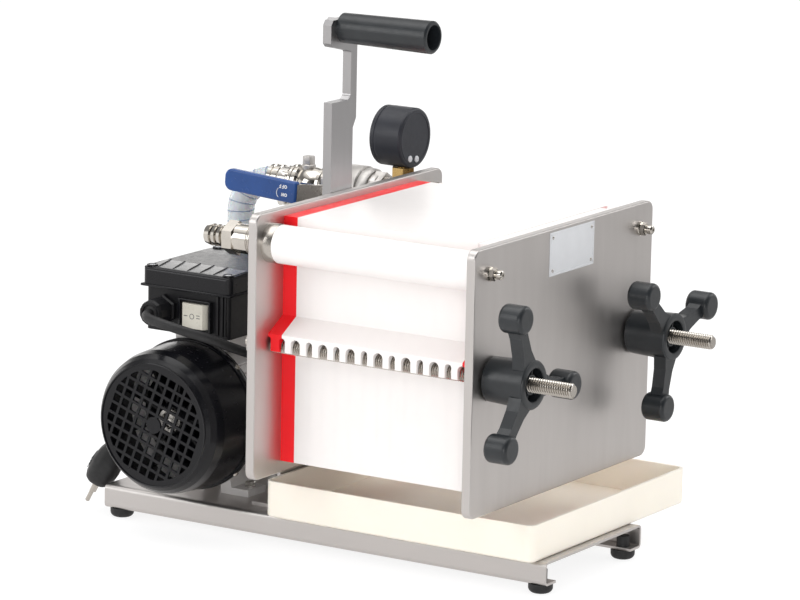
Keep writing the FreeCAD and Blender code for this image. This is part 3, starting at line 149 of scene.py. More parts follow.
def rod(bm, start, end, radius, count=24, bevel=0.3):
    """A round bar from start to end with closed, bevelled ends."""
    way = Vector(end) - Vector(start)
    length = way.length
    profile = [(0, 0), (0, radius - bevel), (bevel, radius)]
    profile += [(length - bevel, radius), (length, radius - bevel), (length, 0)]
    lathe(bm, profile, start, way, count)


def prism(bm, corners, depth, bevel=0.0):
    """A closed solid from a flat loop of points and a depth vector, with its edges softened."""
    low = [bm.verts.new(Vector(corner)) for corner in corners]
    high = [bm.verts.new(Vector(corner) + Vector(depth)) for corner in corners]
    faces = [bm.faces.new(list(reversed(low))), bm.faces.new(high)]
    for step in range(len(low)):
        after = (step + 1) % len(low)
        faces.append(bm.faces.new((low[step], low[after], high[after], high[step])))
    if bevel:
        edges = list({edge for face in faces for edge in face.edges})
        bmesh.ops.bevel(bm, geom=edges, offset=bevel, segments=2, profile=0.5, affect="EDGES")


def block(bm, low, high, bevel=0.0):
    """A box between two corners with softened edges."""
    a, b = Vector(low), Vector(high)
    corners = [(a.x, a.y, a.z), (b.x, a.y, a.z), (b.x, b.y, a.z), (a.x, b.y, a.z)]
    prism(bm, corners, (0, 0, b.z - a.z), bevel)


def hexagon(bm, at, way, across, height, phase=0.0, dome=0.0):
    """A hexagonal head or nut with a chamfered outer face."""
    first, second, third = basis(way)
    radius = across / math.sqrt(3)
    rings = []
    for along, size in ((0, radius), (height - 0.12 * radius, radius), (height, radius * 0.9)):
        rings.append(ring(bm, Vector(at) + first * along, second, third, size, 6, phase))
    for one, other in zip(rings, rings[1:]):
        bridge(bm, one, other)
    bm.faces.new(list(reversed(rings[0])))
    tip = bm.verts.new(Vector(at) + first * (height + dome))
    for step in range(6):
        bm.faces.new((rings[-1][step], rings[-1][(step + 1) % 6], tip))


def hex_nut(bm, at, way, across, height, bore, phase=0.0):
    """A hexagonal nut with chamfered corners at both ends and a bore."""
    first, second, third = basis(way)
    flat, corner = across / 2, across / math.sqrt(3)
    count = 36
    rings = []
    for along, trim in ((0, flat), (height * 0.14, corner), (height * 0.86, corner), (height, flat)):
        made = []
        for step in range(count):
            angle = phase + 2 * math.pi * step / count
            local = (angle - phase) % (math.pi / 3) - math.pi / 6
            radius = min(flat / math.cos(local), trim)
            spot = second * (radius * math.cos(angle)) + third * (radius * math.sin(angle))
            made.append(bm.verts.new(Vector(at) + first * along + spot))
        rings.append(made)
    inner = [ring(bm, Vector(at) + first * along, second, third, bore, count, phase)
             for along in (0, height)]
    for one, other in zip(rings, rings[1:]):
        bridge(bm, one, other)
    bridge(bm, inner[0], rings[0])
    bridge(bm, rings[-1], inner[1])
    bridge(bm, inner[1], inner[0])


def thread(bm, start, end, radius, root, pitch, at, steps=24):
    """A rolled thread along +X from start to end on the line through at, with closed ends."""
    shape = ((0.0, root), (0.42, radius), (0.58, radius))
    rows = []
    total = int((end - start) / pitch) * len(shape) + 1
    for row in range(total):
        turn, which = divmod(row, len(shape))
        line = []
        for step in range(steps):
            share = step / steps
            along = min(start + (turn + shape[which][0] + share) * pitch, end)
            size = min(shape[which][1], root + max(0.0, end - along) * 0.9)
            angle = 2 * math.pi * share
            line.append(bm.verts.new((along, at.y + size * math.cos(angle), at.z + size * math.sin(angle))))
        rows.append(line)
    offset = len(shape)
    for row in range(total - 1):
        here, after = rows[row], rows[row + 1]
        for step in range(steps - 1):
            bm.faces.new((here[step], here[step + 1], after[step + 1], after[step]))
        if row + 1 + offset < total:
            bm.faces.new((here[-1], rows[row + offset][0], rows[row + 1 + offset][0], after[-1]))
    for spot, depth in ((start, 2.0), (end, -2.0)):
        core = [(0, 0), (0, root * 0.96), (depth, root * 0.99), (depth, 0)]
        lathe(bm, core, (spot, at.y, at.z), X, steps)


def sweep(bm, points, radii, count=16):
    """A closed tube along points; radii is one number or one for each point."""
    if not hasattr(radii, "__len__"):
        radii = [radii] * len(points)
    points = [Vector(point) for point in points]
    last, side = None, None
    for step, point in enumerate(points):
        ahead = points[min(step + 1, len(points) - 1)] - points[max(step - 1, 0)]
        ahead.normalize()
        if side is None:
            side = basis(ahead)[1]
        side = (side - ahead * side.dot(ahead)).normalized()
        here = ring(bm, point, side, ahead.cross(side), radii[step], count)
        if last is None:
            bm.faces.new(list(reversed(here)))
        else:
            bridge(bm, last, here)
        last = here
    bm.faces.new(last)


def smooth_line(points, parts=8):
    """A Catmull-Rom line through the points."""
    points = [Vector(point) for point in points]
    made = []
    for here in range(len(points) - 1):
        a, b = points[max(here - 1, 0)], points[here]
        c, d = points[here + 1], points[min(here + 2, len(points) - 1)]
        for step in range(parts):
            t = step / parts
            made.append(0.5 * (2 * b + (c - a) * t + (2 * a - 5 * b + 4 * c - d) * t * t
                               + (3 * b - a - 3 * c + d) * t ** 3))
    made.append(points[-1])
    return made


STROKES = {
    "N": (((0, 0), (0, 1)), ((0, 1), (0.6, 0)), ((0.6, 0), (0.6, 1))),
    "F": (((0, 0), (0, 1)), ((0, 1), (0.55, 1)), ((0, 0.52), (0.45, 0.52))),
}


def letters(bm, text, at, across, up, height, thick):
    """ON and OFF in plain raised strokes: the O is a ring, and a stroke is a bar."""
    across, up = Vector(across).normalized(), Vector(up).normalized()
    out = across.cross(up) * thick
    width = 0.24
    pen = 0.0
    for letter in text:
        if letter == "O":
            centre = Vector(at) + across * (pen + 0.36) * height + up * 0.5 * height
            wide, narrow = 0.5 * height, (0.5 - width) * height
            collar(bm, [(0, wide), (thick, wide), (thick, narrow), (0, narrow)], centre, out, 20)
            pen += 1.05
            continue
        for start, end in STROKES[letter]:
            a, b = (Vector(at) + across * (pen + u) * height + up * v * height for u, v in (start, end))
            side = (b - a).normalized().cross(out.normalized()) * width * height / 2
            prism(bm, [a - side, b - side, b + side, a + side], out)
        pen += 0.95


def piece(name, bm, material, body="root", angle=35, replaced=()):
    """Turns a bmesh in millimetres into a finished piece of the object on its body."""
    bmesh.ops.scale(bm, vec=(MM, MM, MM), verts=bm.verts)
    bmesh.ops.remove_doubles(bm, verts=bm.verts, dist=1e-7)
    bmesh.ops.recalc_face_normals(bm, faces=bm.faces)
    mesh = bpy.data.meshes.new(name)
    bm.to_mesh(mesh)
    bm.free()
    for face in mesh.polygons:
        face.use_smooth = True
    mesh.set_sharp_from_angle(angle=math.radians(angle))
    mesh.materials.append(material)
    item = linked(name, mesh)
    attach(item, body)
    if replaced:
        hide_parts(*replaced)
    return item


# ---- material kit

def blank(name):
    material = bpy.data.materials.new(name)
    material.use_nodes = True
    return material, material.node_tree, material.node_tree.nodes["Principled BSDF"]


def shader_node(tree, kind, **values):
    item = tree.nodes.new(kind)
    for key, value in values.items():
        if key in item.inputs.keys():
            item.inputs[key].default_value = value
        else:
            setattr(item, key, value)
    return item


def place_of(tree, stretch=(1, 1, 1)):
    """Object coordinates, which are metres in the row frame, stretched for brushed grain."""
    where = tree.nodes.new("ShaderNodeTexCoord")
    mapping = shader_node(tree, "ShaderNodeMapping", Scale=stretch)
    tree.links.new(where.outputs["Object"], mapping.inputs["Vector"])
    return mapping.outputs["Vector"]


def noise(tree, scale, stretch=(1, 1, 1), detail=3.0):
    item = shader_node(tree, "ShaderNodeTexNoise", Scale=scale, Detail=detail, Roughness=0.5)
    tree.links.new(place_of(tree, stretch), item.inputs["Vector"])
    return item.outputs["Fac"]


def spread(tree, value, low, high, start=0.3, end=0.7):
    """Maps value from start..end to low..high."""
    item = shader_node(tree, "ShaderNodeMapRange")
    for name, number in (("From Min", start), ("From Max", end), ("To Min", low), ("To Max", high)):
        item.inputs[name].default_value = number
    tree.links.new(value, item.inputs["Value"])
    return item.outputs["Result"]


def two_tone(tree, value, one, other):
    """Blends two colours by a value round a half."""
    item = tree.nodes.new("ShaderNodeValToRGB")
    for stop, position, color in zip(item.color_ramp.elements, (0.35, 0.65), (one, other)):
        stop.position = position
        stop.color = (*color, 1)
    tree.links.new(value, item.inputs["Fac"])
    return item.outputs["Color"]


def bump(tree, shader, height, strength, depth):
    """A fine relief; depth is in metres."""
    item = shader_node(tree, "ShaderNodeBump", Strength=strength, Distance=depth)
    tree.links.new(height, item.inputs["Height"])
    tree.links.new(item.outputs["Normal"], shader.inputs["Normal"])


def tint(color, factor):
    return tuple(min(1.0, channel * factor) for channel in color)


def surface(name, color, rough, rough_spread=0.05, metallic=0.0, tone=0.04, tone_scale=30, grain=900,
            grain_strength=0.1, grain_depth=0.00002, stretch=(1, 1, 1), **sockets):
    """A base finish: a little colour variation, uneven roughness and a fine relief."""
    material, tree, shader = blank(name)
    shader.inputs["Metallic"].default_value = metallic
    for key, value in sockets.items():
        shader.inputs[key.replace("_", " ")].default_value = value
    patches = two_tone(tree, noise(tree, tone_scale, stretch), tint(color, 1 - tone), tint(color, 1 + tone))
    tree.links.new(patches, shader.inputs["Base Color"])
    uneven = spread(tree, noise(tree, tone_scale * 3.7, stretch), rough - rough_spread, rough + rough_spread)
    tree.links.new(uneven, shader.inputs["Roughness"])
    bump(tree, shader, noise(tree, grain, stretch, 2.0), grain_strength, grain_depth)
    return material


# ---- materials

def stainless(name, stretch):
    """Cold-rolled sheet: matt enough to blur what it mirrors, with a fine grain and faint clouds."""
    return surface(name, (0.60, 0.575, 0.56), 0.40, 0.03, 1.0, 0.02, 6, 500, 0.035, 0.00001, stretch)


def bright_steel():
    return surface("bright_steel", (0.62, 0.60, 0.57), 0.24, 0.06, 1.0, 0.06, 60, 1400, 0.08)


def rod_steel():
    return surface("rod_steel", (0.50, 0.47, 0.43), 0.24, 0.04, 1.0, 0.03, 90, 900, 0.04)


def nickel():
    return surface("nickel", (0.58, 0.55, 0.505), 0.13, 0.04, 1.0, 0.07, 50, 600, 0.1, 0.00003)


def cast_steel():
    return surface("cast_steel", (0.60, 0.58, 0.56), 0.46, 0.08, 1.0, 0.08, 70, 300, 0.4, 0.00008)


def brass():
    return surface("brass", (0.56, 0.38, 0.15), 0.28, 0.06, 1.0, 0.1, 80, 900, 0.1)


def motor_paint():
    return surface("motor_paint", (0.72, 0.70, 0.69), 0.42, 0.08, 0.15, 0.06, 40, 500, 0.35, 0.0001)


def bronze():
    return surface("bronze", (0.50, 0.40, 0.26), 0.38, 0.1, 1.0, 0.1, 40, 400, 0.5, 0.0001)


def black_nylon():
    return surface("black_nylon", (0.007, 0.007, 0.0085), 0.40, 0.05, 0.0, 0.15, 60, 1100, 0.22, 0.00005,
                   Specular_IOR_Level=0.30)


def slate_nylon():
    return surface("slate_nylon", (0.016, 0.019, 0.022), 0.34, 0.05, 0.0, 0.12, 60, 1100, 0.2, 0.00005,
                   Specular_IOR_Level=0.5)


def panel_gloss():
    """The lid's smooth brow, which mirrors the pale room behind."""
    return surface("panel_gloss", (0.02, 0.022, 0.026), 0.3, 0.05, 0.0, 0.12, 60, 900, 0.1, 0.00005,
                   Specular_IOR_Level=0.9, Coat_Weight=0.8, Coat_Roughness=0.2)


def black_gloss():
    return surface("black_gloss", (0.005, 0.0052, 0.007), 0.24, 0.04, 0.0, 0.1, 60, 500, 0.05,
                   Specular_IOR_Level=0.32)


def gauge_enamel():
    return surface("gauge_enamel", (0.016, 0.018, 0.026), 0.42, 0.05, 0.0, 0.08, 60, 700, 0.12, 0.00003,
                   Specular_IOR_Level=0.45)


def shaded_sheet():
    """The handle's sheet: smoother than the plates, its colour darkened as painted shade for the darker
    reflection on the bar.
    """
    return surface("shaded_sheet", (0.42, 0.415, 0.42), 0.34, 0.03, 1.0, 0.03, 8, 500, 0.03, 0.00001, (1, 8, 1))


def rubber():
    return surface("rubber", (0.012, 0.012, 0.013), 0.55, 0.08, 0.0, 0.15, 80, 900, 0.3, 0.00005)


def white_plate():
    """Milky polypropylene: a little light goes through it."""
    return surface("white_plate", (0.91, 0.872, 0.855), 0.36, 0.06, 0.0, 0.008, 40, 500, 0.12, 0.00004,
                   Subsurface_Weight=0.12, Subsurface_Scale=0.003, Subsurface_Radius=(1, 0.95, 0.9))


def red_plate():
    return surface("red_plate", (0.98, 0.013, 0.020), 0.36, 0.06, 0.0, 0.04, 40, 500, 0.12, 0.00004,
                   Specular_IOR_Level=0.35, Subsurface_Weight=0.15, Subsurface_Scale=0.004)


def cream_tray():
    return surface("cream_tray", (0.975, 0.905, 0.80), 0.38, 0.06, 0.0, 0.012, 25, 500, 0.12, 0.00005,
                   Subsurface_Weight=0.15, Subsurface_Scale=0.004, Subsurface_Radius=(1, 0.8, 0.6))


def ivory():
    return surface("ivory", (0.60, 0.575, 0.50), 0.3, 0.05, 0.0, 0.03, 90, 900, 0.08)


def blue_vinyl():
    return surface("blue_vinyl", (0.008, 0.062, 0.25), 0.24, 0.05, 0.0, 0.06, 60, 260, 0.12, 0.0001)


def clear_hose():
    return surface("clear_hose", (0.86, 0.90, 0.95), 0.16, 0.04, 0.0, 0.02, 60, 300, 0.15, 0.0001,
                   Transmission_Weight=0.45, Subsurface_Weight=0.2, Subsurface_Scale=0.003)


def hose_line():
    return surface("hose_line", (0.20, 0.26, 0.36), 0.4, 0.05, 0.0, 0.05, 90, 900, 0.05)


def print_white():
    return surface("print_white", (0.85, 0.86, 0.88), 0.5, 0.05, 0.0, 0.03, 90, 900, 0.05)


def print_dark():
    return surface("print_dark", (0.09, 0.09, 0.09), 0.5, 0.05, 0.0, 0.05, 90, 900, 0.05)


def silver_foil():
    return surface("silver_foil", (0.62, 0.63, 0.65), 0.45, 0.05, 0.1, 0.03, 40, 700, 0.1)


def lens():
    return surface("lens", (0.95, 0.96, 0.97), 0.05, 0.02, 0.0, 0.01, 60, 500, 0.02, Transmission_Weight=1.0)


# ---- floor, lamps and sky

def joined(tree, operation, one, other):
    """A Math node of two outputs, or of an output and a number."""
    item = shader_node(tree, "ShaderNodeMath", operation=operation)
    tree.links.new(one, item.inputs[0])
    if isinstance(other, float):
        item.inputs[1].default_value = other
    else:
        tree.links.new(other, item.inputs[1])
    return item.outputs[0]


def show(tree, lit, mirrored, shown, share, target):
    """lit for the light itself; share of the rest is shown to the camera or mirrored by what shines."""
    path = tree.nodes.new("ShaderNodeLightPath")
    seen = path.outputs["Is Camera Ray"]
    glow = tree.nodes.new("ShaderNodeMixShader")
    tree.links.new(seen, glow.inputs["Fac"])
    for name in ("Is Glossy Ray", "Is Transmission Ray"):
        seen = joined(tree, "MAXIMUM", seen, path.outputs[name])
    mix = tree.nodes.new("ShaderNodeMixShader")
    tree.links.new(joined(tree, "MULTIPLY", seen, share), mix.inputs["Fac"])
    for output, socket in ((mirrored, glow.inputs[1]), (shown, glow.inputs[2]), (lit, mix.inputs[1]),
                           (glow.outputs["Shader"], mix.inputs[2]), (mix.outputs["Shader"], target)):
        tree.links.new(output, socket)


def along_way(tree, vector, way, start, end, low, high):
    """Grades from low to high as vector goes from start to end along way."""
    item = shader_node(tree, "ShaderNodeVectorMath", operation="DOT_PRODUCT")
    tree.links.new(vector, item.inputs[0])
    item.inputs[1].default_value = way
    return spread(tree, item.outputs["Value"], low, high, start, end)


def make_stage():
    """A white floor that takes a faint shadow. What shines sees it dimmer towards the right back."""
    bm = bmesh.new()
    reach = 14
    bm.faces.new([bm.verts.new((x * reach, y * reach, 0)) for x, y in SQUARE])
    mesh = bpy.data.meshes.new("floor")
    bm.to_mesh(mesh)
    bm.free()
    floor = linked("floor", mesh)
    material, tree, shader = blank("floor")
    shader.inputs["Base Color"].default_value = (0.88, 0.88, 0.88, 1)
    shader.inputs["Roughness"].default_value = 0.9
    shader.inputs["Specular IOR Level"].default_value = 0.1
    shown = shader_node(tree, "ShaderNodeEmission", Color=(1, 1, 1, 1), Strength=1.15)
    mirrored = shader_node(tree, "ShaderNodeEmission", Color=(1, 0.97, 0.95, 1))
    graded = along_way(tree, place_of(tree), (0.55, 0.83, 0), -0.2, 1.2, 1.0, 0.45)
    tree.links.new(graded, mirrored.inputs["Strength"])
    show(tree, shader.outputs["BSDF"], mirrored.outputs["Emission"], shown.outputs["Emission"], 0.72,
         tree.nodes["Material Output"].inputs["Surface"])
    mesh.materials.append(material)


def make_sky():
    """White to the eye and as light. What shines sees a dim front right, a bright left and a bright top."""
    world = bpy.data.worlds.new("studio")
    bpy.context.scene.world = world
    world.use_nodes = True
    tree = world.node_tree
    lit = tree.nodes["Background"]
    lit.inputs["Color"].default_value = (1, 1, 1, 1)
    lit.inputs["Strength"].default_value = 0.88
    where = tree.nodes.new("ShaderNodeTexCoord").outputs["Generated"]
    front = along_way(tree, where, (0.84, -0.54, -0.1), 0.0, 0.62, 1.0, 0.12)
    behind = along_way(tree, where, (0.84, -0.54, 0.0), -0.95, -0.25, 1.6, 1.0)
    level = along_way(tree, where, (0, 0, 1), 0.26, 0.36, 1.0, 0.22)
    above = along_way(tree, where, (0, 0, 1), 0.62, 0.78, 0.0, 0.9)
    bands = joined(tree, "ADD", level, above)
    mirrored = shader_node(tree, "ShaderNodeBackground", Color=(1, 0.985, 0.97, 1))
    shine = joined(tree, "MULTIPLY", joined(tree, "MULTIPLY", front, behind), bands)
    tree.links.new(shine, mirrored.inputs["Strength"])
    shown = shader_node(tree, "ShaderNodeBackground", Color=(1, 1, 1, 1), Strength=1.0)
    show(tree, lit.outputs["Background"], mirrored.outputs["Background"], shown.outputs["Background"], 1.0,
         tree.nodes["World Output"].inputs["Surface"])


def softbox(name, at, aim, width, height, power):
    """A soft area lamp; power is in watts."""
    data = bpy.data.lights.new(name, "AREA")
    data.shape = "RECTANGLE"
    data.size, data.size_y, data.energy = width, height, power
    lamp = linked(name, data)
    lamp.location = at
    lamp.rotation_euler = (Vector(aim) - Vector(at)).to_track_quat("-Z", "Y").to_euler()


def make_lamps():
    """Soft lamps from above, the left front, the right back and low at the right front."""
    softbox("overhead", (-0.3, -0.2, 2.6), (0, 0, 0.15), 2.2, 2.2, 21)
    softbox("left_front", (-1.7, -2.5, 1.5), (0, 0, 0.2), 1.3, 1.5, 18)
    softbox("right_back", (1.6, 2.3, 1.7), (0.1, 0, 0.2), 1.0, 1.2, 14)
    softbox("low_fill", (1.5, -2.5, 0.62), (0.1, 0, 0.1), 1.0, 0.8, 13)


# ---- mains cord

COIL_CENTRE = (-160, 128)
CORD_SKIN = 4.2  # the height of the cord's middle where it lies on the floor
# From the gland down behind the rear plate to the coil, and from the coil up and over to the plug
CORD_DOWN = [
    (-165, -126.2, 189.3), (-164.2, -132.5, 189.2), (-155, -140.5, 188.6), (-137, -144, 186.8),
    (-118, -141, 182.8), (-101.5, -130, 176.9), (-91, -114, 168.5), (-83.5, -89, 158.5),
    (-76.5, -60, 145.5), (-73, -29, 130), (-73.5, 3, 110), (-77.5, 32, 86), (-84, 57, 63),
    (-90.5, 76, 44), (-98, 92, 27), (-105.5, 106, 13.5), (-110.5, 120, 6.5), (-112.5, 134, CORD_SKIN),
]
CORD_BACK = [
    (-208.5, 136, CORD_SKIN), (-211, 119, 7), (-216, 103, 16.5), (-219.5, 87, 31), (-222, 70, 41.5),
    (-222.5, 50, 44), (-223, 31, 56), (-223, 19, 77), (-223, 5, 97), (-223, -16, 108.5), (-223, -39, 108),
    (-222, -59, 97), (-227, -70, 77.6), (-235.3, -71, 60.1),
]


def ease(value):
    """0 to 1 with a gentle start and end."""
    value = min(1.0, max(0.0, value))
    return value * value * (3 - 2 * value)


def coil_points():
    """Three turns and a half, wound inwards on the floor, up, and out again over them."""
    points = []
    first, last = 7.2, 170.6 + 1080
    count = 50
    rise = 8.2
    for step in range(1, count):
        angle = first + (last - first) * step / count
        turn = (angle - first) / 360
        radius = 48.3 - rise * ease(turn / 0.42) - rise * ease((turn - 1) / 0.42)
        radius += 12.5 * ease((turn - 2.2) / 0.8) + 5 * ease((turn - 3) / 0.45)
        height = CORD_SKIN + rise * ease((turn - 1.82) / 0.4) - rise * ease((turn - 3.1) / 0.34)
        x = COIL_CENTRE[0] + radius * math.cos(math.radians(angle))
        y = COIL_CENTRE[1] + radius * math.sin(math.radians(angle))
        points.append((x, y, height))
    return points


def make_cord(material, metal):
    """The mains lead on one smooth line, with its plug and strain relief."""
    route = CORD_DOWN + coil_points() + CORD_BACK
    curve = bpy.data.curves.new("mains_cord", "CURVE")
    curve.dimensions = "3D"
    spline = curve.splines.new("NURBS")
    spline.points.add(len(route) - 1)
    for point, place in zip(spline.points, route):
        point.co = (*(value * MM for value in place), 1)
    spline.order_u = 3
    spline.use_endpoint_u = True
    spline.resolution_u = 8
    curve.bevel_depth = 0.004
    curve.bevel_resolution = 6
    curve.use_fill_caps = True
    curve.materials.append(material)
    cord = linked("mains_cord", curve)
    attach(cord, "root")
    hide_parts("power_cord", "cord_coil")
    make_relief(material)
    mains_plug(material, metal)


def make_relief(material):
    """A tapered ribbed sleeve over the last 27 mm of the cord at the plug."""
    before, last, end = (Vector(place) for place in CORD_BACK[-3:])
    start = (before + last) / 2
    points, radii = [], []
    for step in range(37):
        share = step / 36
        t = 0.08 + 0.92 * share
        points.append(start * (1 - t) ** 2 + last * 2 * t * (1 - t) + end * t * t)
        rib = 0.75 if share > 0.12 and step % 4 in (1, 2) else 0.0
        radii.append(4.7 + 1.7 * share - rib)
    bm = bmesh.new()
    sweep(bm, points, radii, 24)
    piece("plug_relief", bm, material)


def mains_plug(rubber_skin, metal):
    """A rounded two-pin plug hanging on the end of the cord, turned a little about its own axis."""
    end, way = Vector(CORD_BACK[-1]), Vector((0.48, 0, 0.877))
    wide = (Vector((0.877, 0, -0.48)) * -0.36 + Y * 0.933).normalized()
    thin = way.cross(wide)
    face = end - way * 38
    sections = ((0, 12, 7.5), (0.6, 14.6, 9.6), (2.4, 16.4, 11.4), (6, 17.4, 12.3), (15, 17.6, 12.5),
                (21, 16.2, 12.0), (27, 12.6, 10.6), (32, 9.2, 8.6), (36, 7.0, 7.0), (38, 6.4, 6.4))
    squareness, count = 0.75, 40
    bm = bmesh.new()
    last = None
    for along, half_wide, half_thin in sections:
        here = []
        for step in range(count):
            angle = 2 * math.pi * step / count
            c, d = math.cos(angle), math.sin(angle)
            u, v = math.copysign(abs(c) ** squareness, c), math.copysign(abs(d) ** squareness, d)
            here.append(bm.verts.new(face + way * along + wide * half_wide * u + thin * half_thin * v))
        if last is None:
            bm.faces.new(list(reversed(here)))
        else:
            bridge(bm, last, here)
        last = here
    bm.faces.new(last)
    for side in (-1, 1):
        for along in (9, 12, 15, 18):
            spot = face + way * along + thin * side * 12.4
            grip = [spot + wide * (8 * u) + way * (0.5 * v) for u, v in SQUARE]
            prism(bm, grip, thin * side * 0.5, 0.2)
    piece("plug_body", bm, rubber_skin, replaced=("plug",))
    bm = bmesh.new()
    for side in (-9.5, 9.5):
        rod(bm, face + wide * side + way * 2, face + wide * side - way * 19, 1.9, 20, 0.9)
        rod(bm, face + wide * side + way * 1, face + wide * side - way * 9, 2.15, 20, 0.3)
    piece("plug_pins", bm, metal)


# ---- press and plates

def threaded_rods(material):
    """Both tie rods with their rolled thread."""
    radius, root, pitch = 6.0, 4.8, 2.1
    for side in ("near", "far"):
        low, high = box(f"tie_rod_{side}")
        bm = bmesh.new()
        thread(bm, low.x, high.x, radius, root, pitch, middle(f"tie_rod_{side}"))
        piece(f"threaded_rod_{side}", bm, material, replaced=(f"tie_rod_{side}",), angle=25)


def bleed_nipples(plate, metal):
    """A blanking disc over the channel's bore, and a short nipple with a hexagon and a round tip."""
    for side in ("near", "far"):
        back, spot = box(f"bleed_valve_{side}")[0].x, middle(f"bleed_valve_{side}")
        at = Vector((back + 8, spot.y, spot.z))
        bm = bmesh.new()
        lathe(bm, [(0, 0), (0, 9.4), (8.02, 9.4), (8.02, 0)], (back, spot.y, spot.z), X, 48)
        piece(f"channel_cap_{side}", bm, plate, "press_body", replaced=(f"bleed_valve_{side}",))
        bm = bmesh.new()
        lathe(bm, [(-1, 0), (-1, 6.0), (1.6, 6.0), (2.0, 5.6), (2.0, 0)], at, X, 36)
        hexagon(bm, at + X * 2.0, X, 9.3, 4.6, math.radians(12))
        lathe(bm, [(6.0, 0), (6.0, 3.1), (8.0, 3.1), (8.4, 3.8), (11.6, 3.7), (12.5, 2.6), (12.5, 1.1),
                   (11.0, 1.0), (11.0, 0)], at, X, 28)
        piece(f"bleed_nipple_{side}", bm, metal, "press_body")


def label_plate(foil, edge):
    """A bare rating plate on the press plate with a fine raised border and four rivets."""
    face = box("press_plate")[1].x
    bm = bmesh.new()
    block(bm, (face - 0.1, -38, 246.3), (face + 0.5, 32, 281.7), 0.15)
    left, right, bottom, top, line = -36.6, 30.6, 247.6, 280.4, 0.5
    for y, z, y_end, z_end in ((left, bottom, right, bottom + line), (left, top - line, right, top),
                               (left, bottom, left + line, top), (right - line, bottom, right, top)):
        block(bm, (face + 0.4, y, z), (face + 0.65, y_end, z_end), 0.05)
    piece("label_plate", bm, foil, "press_body")
    bm = bmesh.new()
    for y in (-33.5, 27.5):
        for z in (250.6, 277.4):
            lathe(bm, [(0.4, 0), (0.4, 1.5), (0.9, 1.35), (1.2, 0.8), (1.3, 0)], (face, y, z), X, 18)
    piece("label_rivets", bm, edge, "press_body")


def knob_webs(material):
    """The inner boss and six webs of each moulded knob, and a raised bead round each hub's mouth."""
    recess, depth, mouth = 181.6, 14.2, 199.65
    for side in ("near", "far"):
        rod_at = middle(f"tie_rod_{side}")
        at = Vector((recess, rod_at.y, rod_at.z))
        bm = bmesh.new()
        collar(bm, [(0, 6.7), (0, 8.4), (15.2, 8.0), (15.2, 6.7)], at, X, 36)
        for step in range(6):
            angle = math.radians(60 * step + 12)
            out = Vector((0, math.cos(angle), math.sin(angle)))
            across = Vector((0, -math.sin(angle), math.cos(angle)))
            root = at + out * 7.9 - across * 0.7
            tip = root + out * 5.9
            prism(bm, [root, tip, tip + across * 1.4, root + across * 1.4], (depth, 0, 0), 0.25)
        piece(f"knob_webs_{side}", bm, material, f"knob_{side}_body")
        bm = bmesh.new()
        collar(bm, [(-0.4, 13.6), (0.35, 14.1), (0.5, 15.2), (0.5, 17.6), (0.1, 18.9), (-0.6, 19.3),
                    (-0.6, 13.6)], (mouth, rod_at.y, rod_at.z), X, 60)
        piece(f"knob_lip_{side}", bm, material, f"knob_{side}_body")


def channel_collars(steel):
    """Steel end collars of both juice channels next to the rear plate."""
    for side, line in (("near", NEAR_CHANNEL), ("far", FAR_CHANNEL)):
        bm = bmesh.new()
        collar(bm, [(0, 15.75), (0, 16.1), (9.4, 16.1), (10.0, 15.75)], line + X * REAR_PLATE_FACE, X, 60)
        piece(f"channel_collar_{side}", bm, steel)


def lower_end_plate(red, white):
    """The end plate with its top edge a little lower under a white seal, and its far corner bead."""
    bm = bmesh.new()
    bm.from_mesh(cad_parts["end_plate"].data)
    bmesh.ops.scale(bm, vec=(1 / MM, 1 / MM, 1 / MM), verts=bm.verts)
    top_band, far_corner, drop = 270, 92, 2.6
    for vert in bm.verts:
        if vert.co.z > top_band and vert.co.y < far_corner:
            vert.co.z -= drop
    block(bm, (140.4, 80, 274), (151.2, 90, 280.4), 2.0)
    piece("end_plate_cut", bm, red, replaced=("end_plate",), angle=30)
    bm = bmesh.new()
    block(bm, (139.3, -112, 276.6), (152.1, 79, 282.8), 0.6)
    piece("end_seal", bm, white)


def plate_bolts(steel):
    """Bolts of the handle and the rear plate's bracket, each set where its line meets the node."""
    places = [("handle_bar", (-80, -16, z), X, 4.6, 0.2) for z in (236, 262)]
    for y in (-52, 30):
        places.append(("plate_bracket", (-120, y, 95), X, 4.4, 0.4))
        places.append(("plate_bracket", (-80, y, 140), -Z, 4.4, 0.4))
    bm = bmesh.new()
    for node, start, way, height, phase in places:
        spot = touch(node, start, way)
        if spot is not None:
            hexagon(bm, spot + way * 0.3, -way, 10, height, phase)
    piece("frame_bolts", bm, steel)


# ---- motor, fan and box

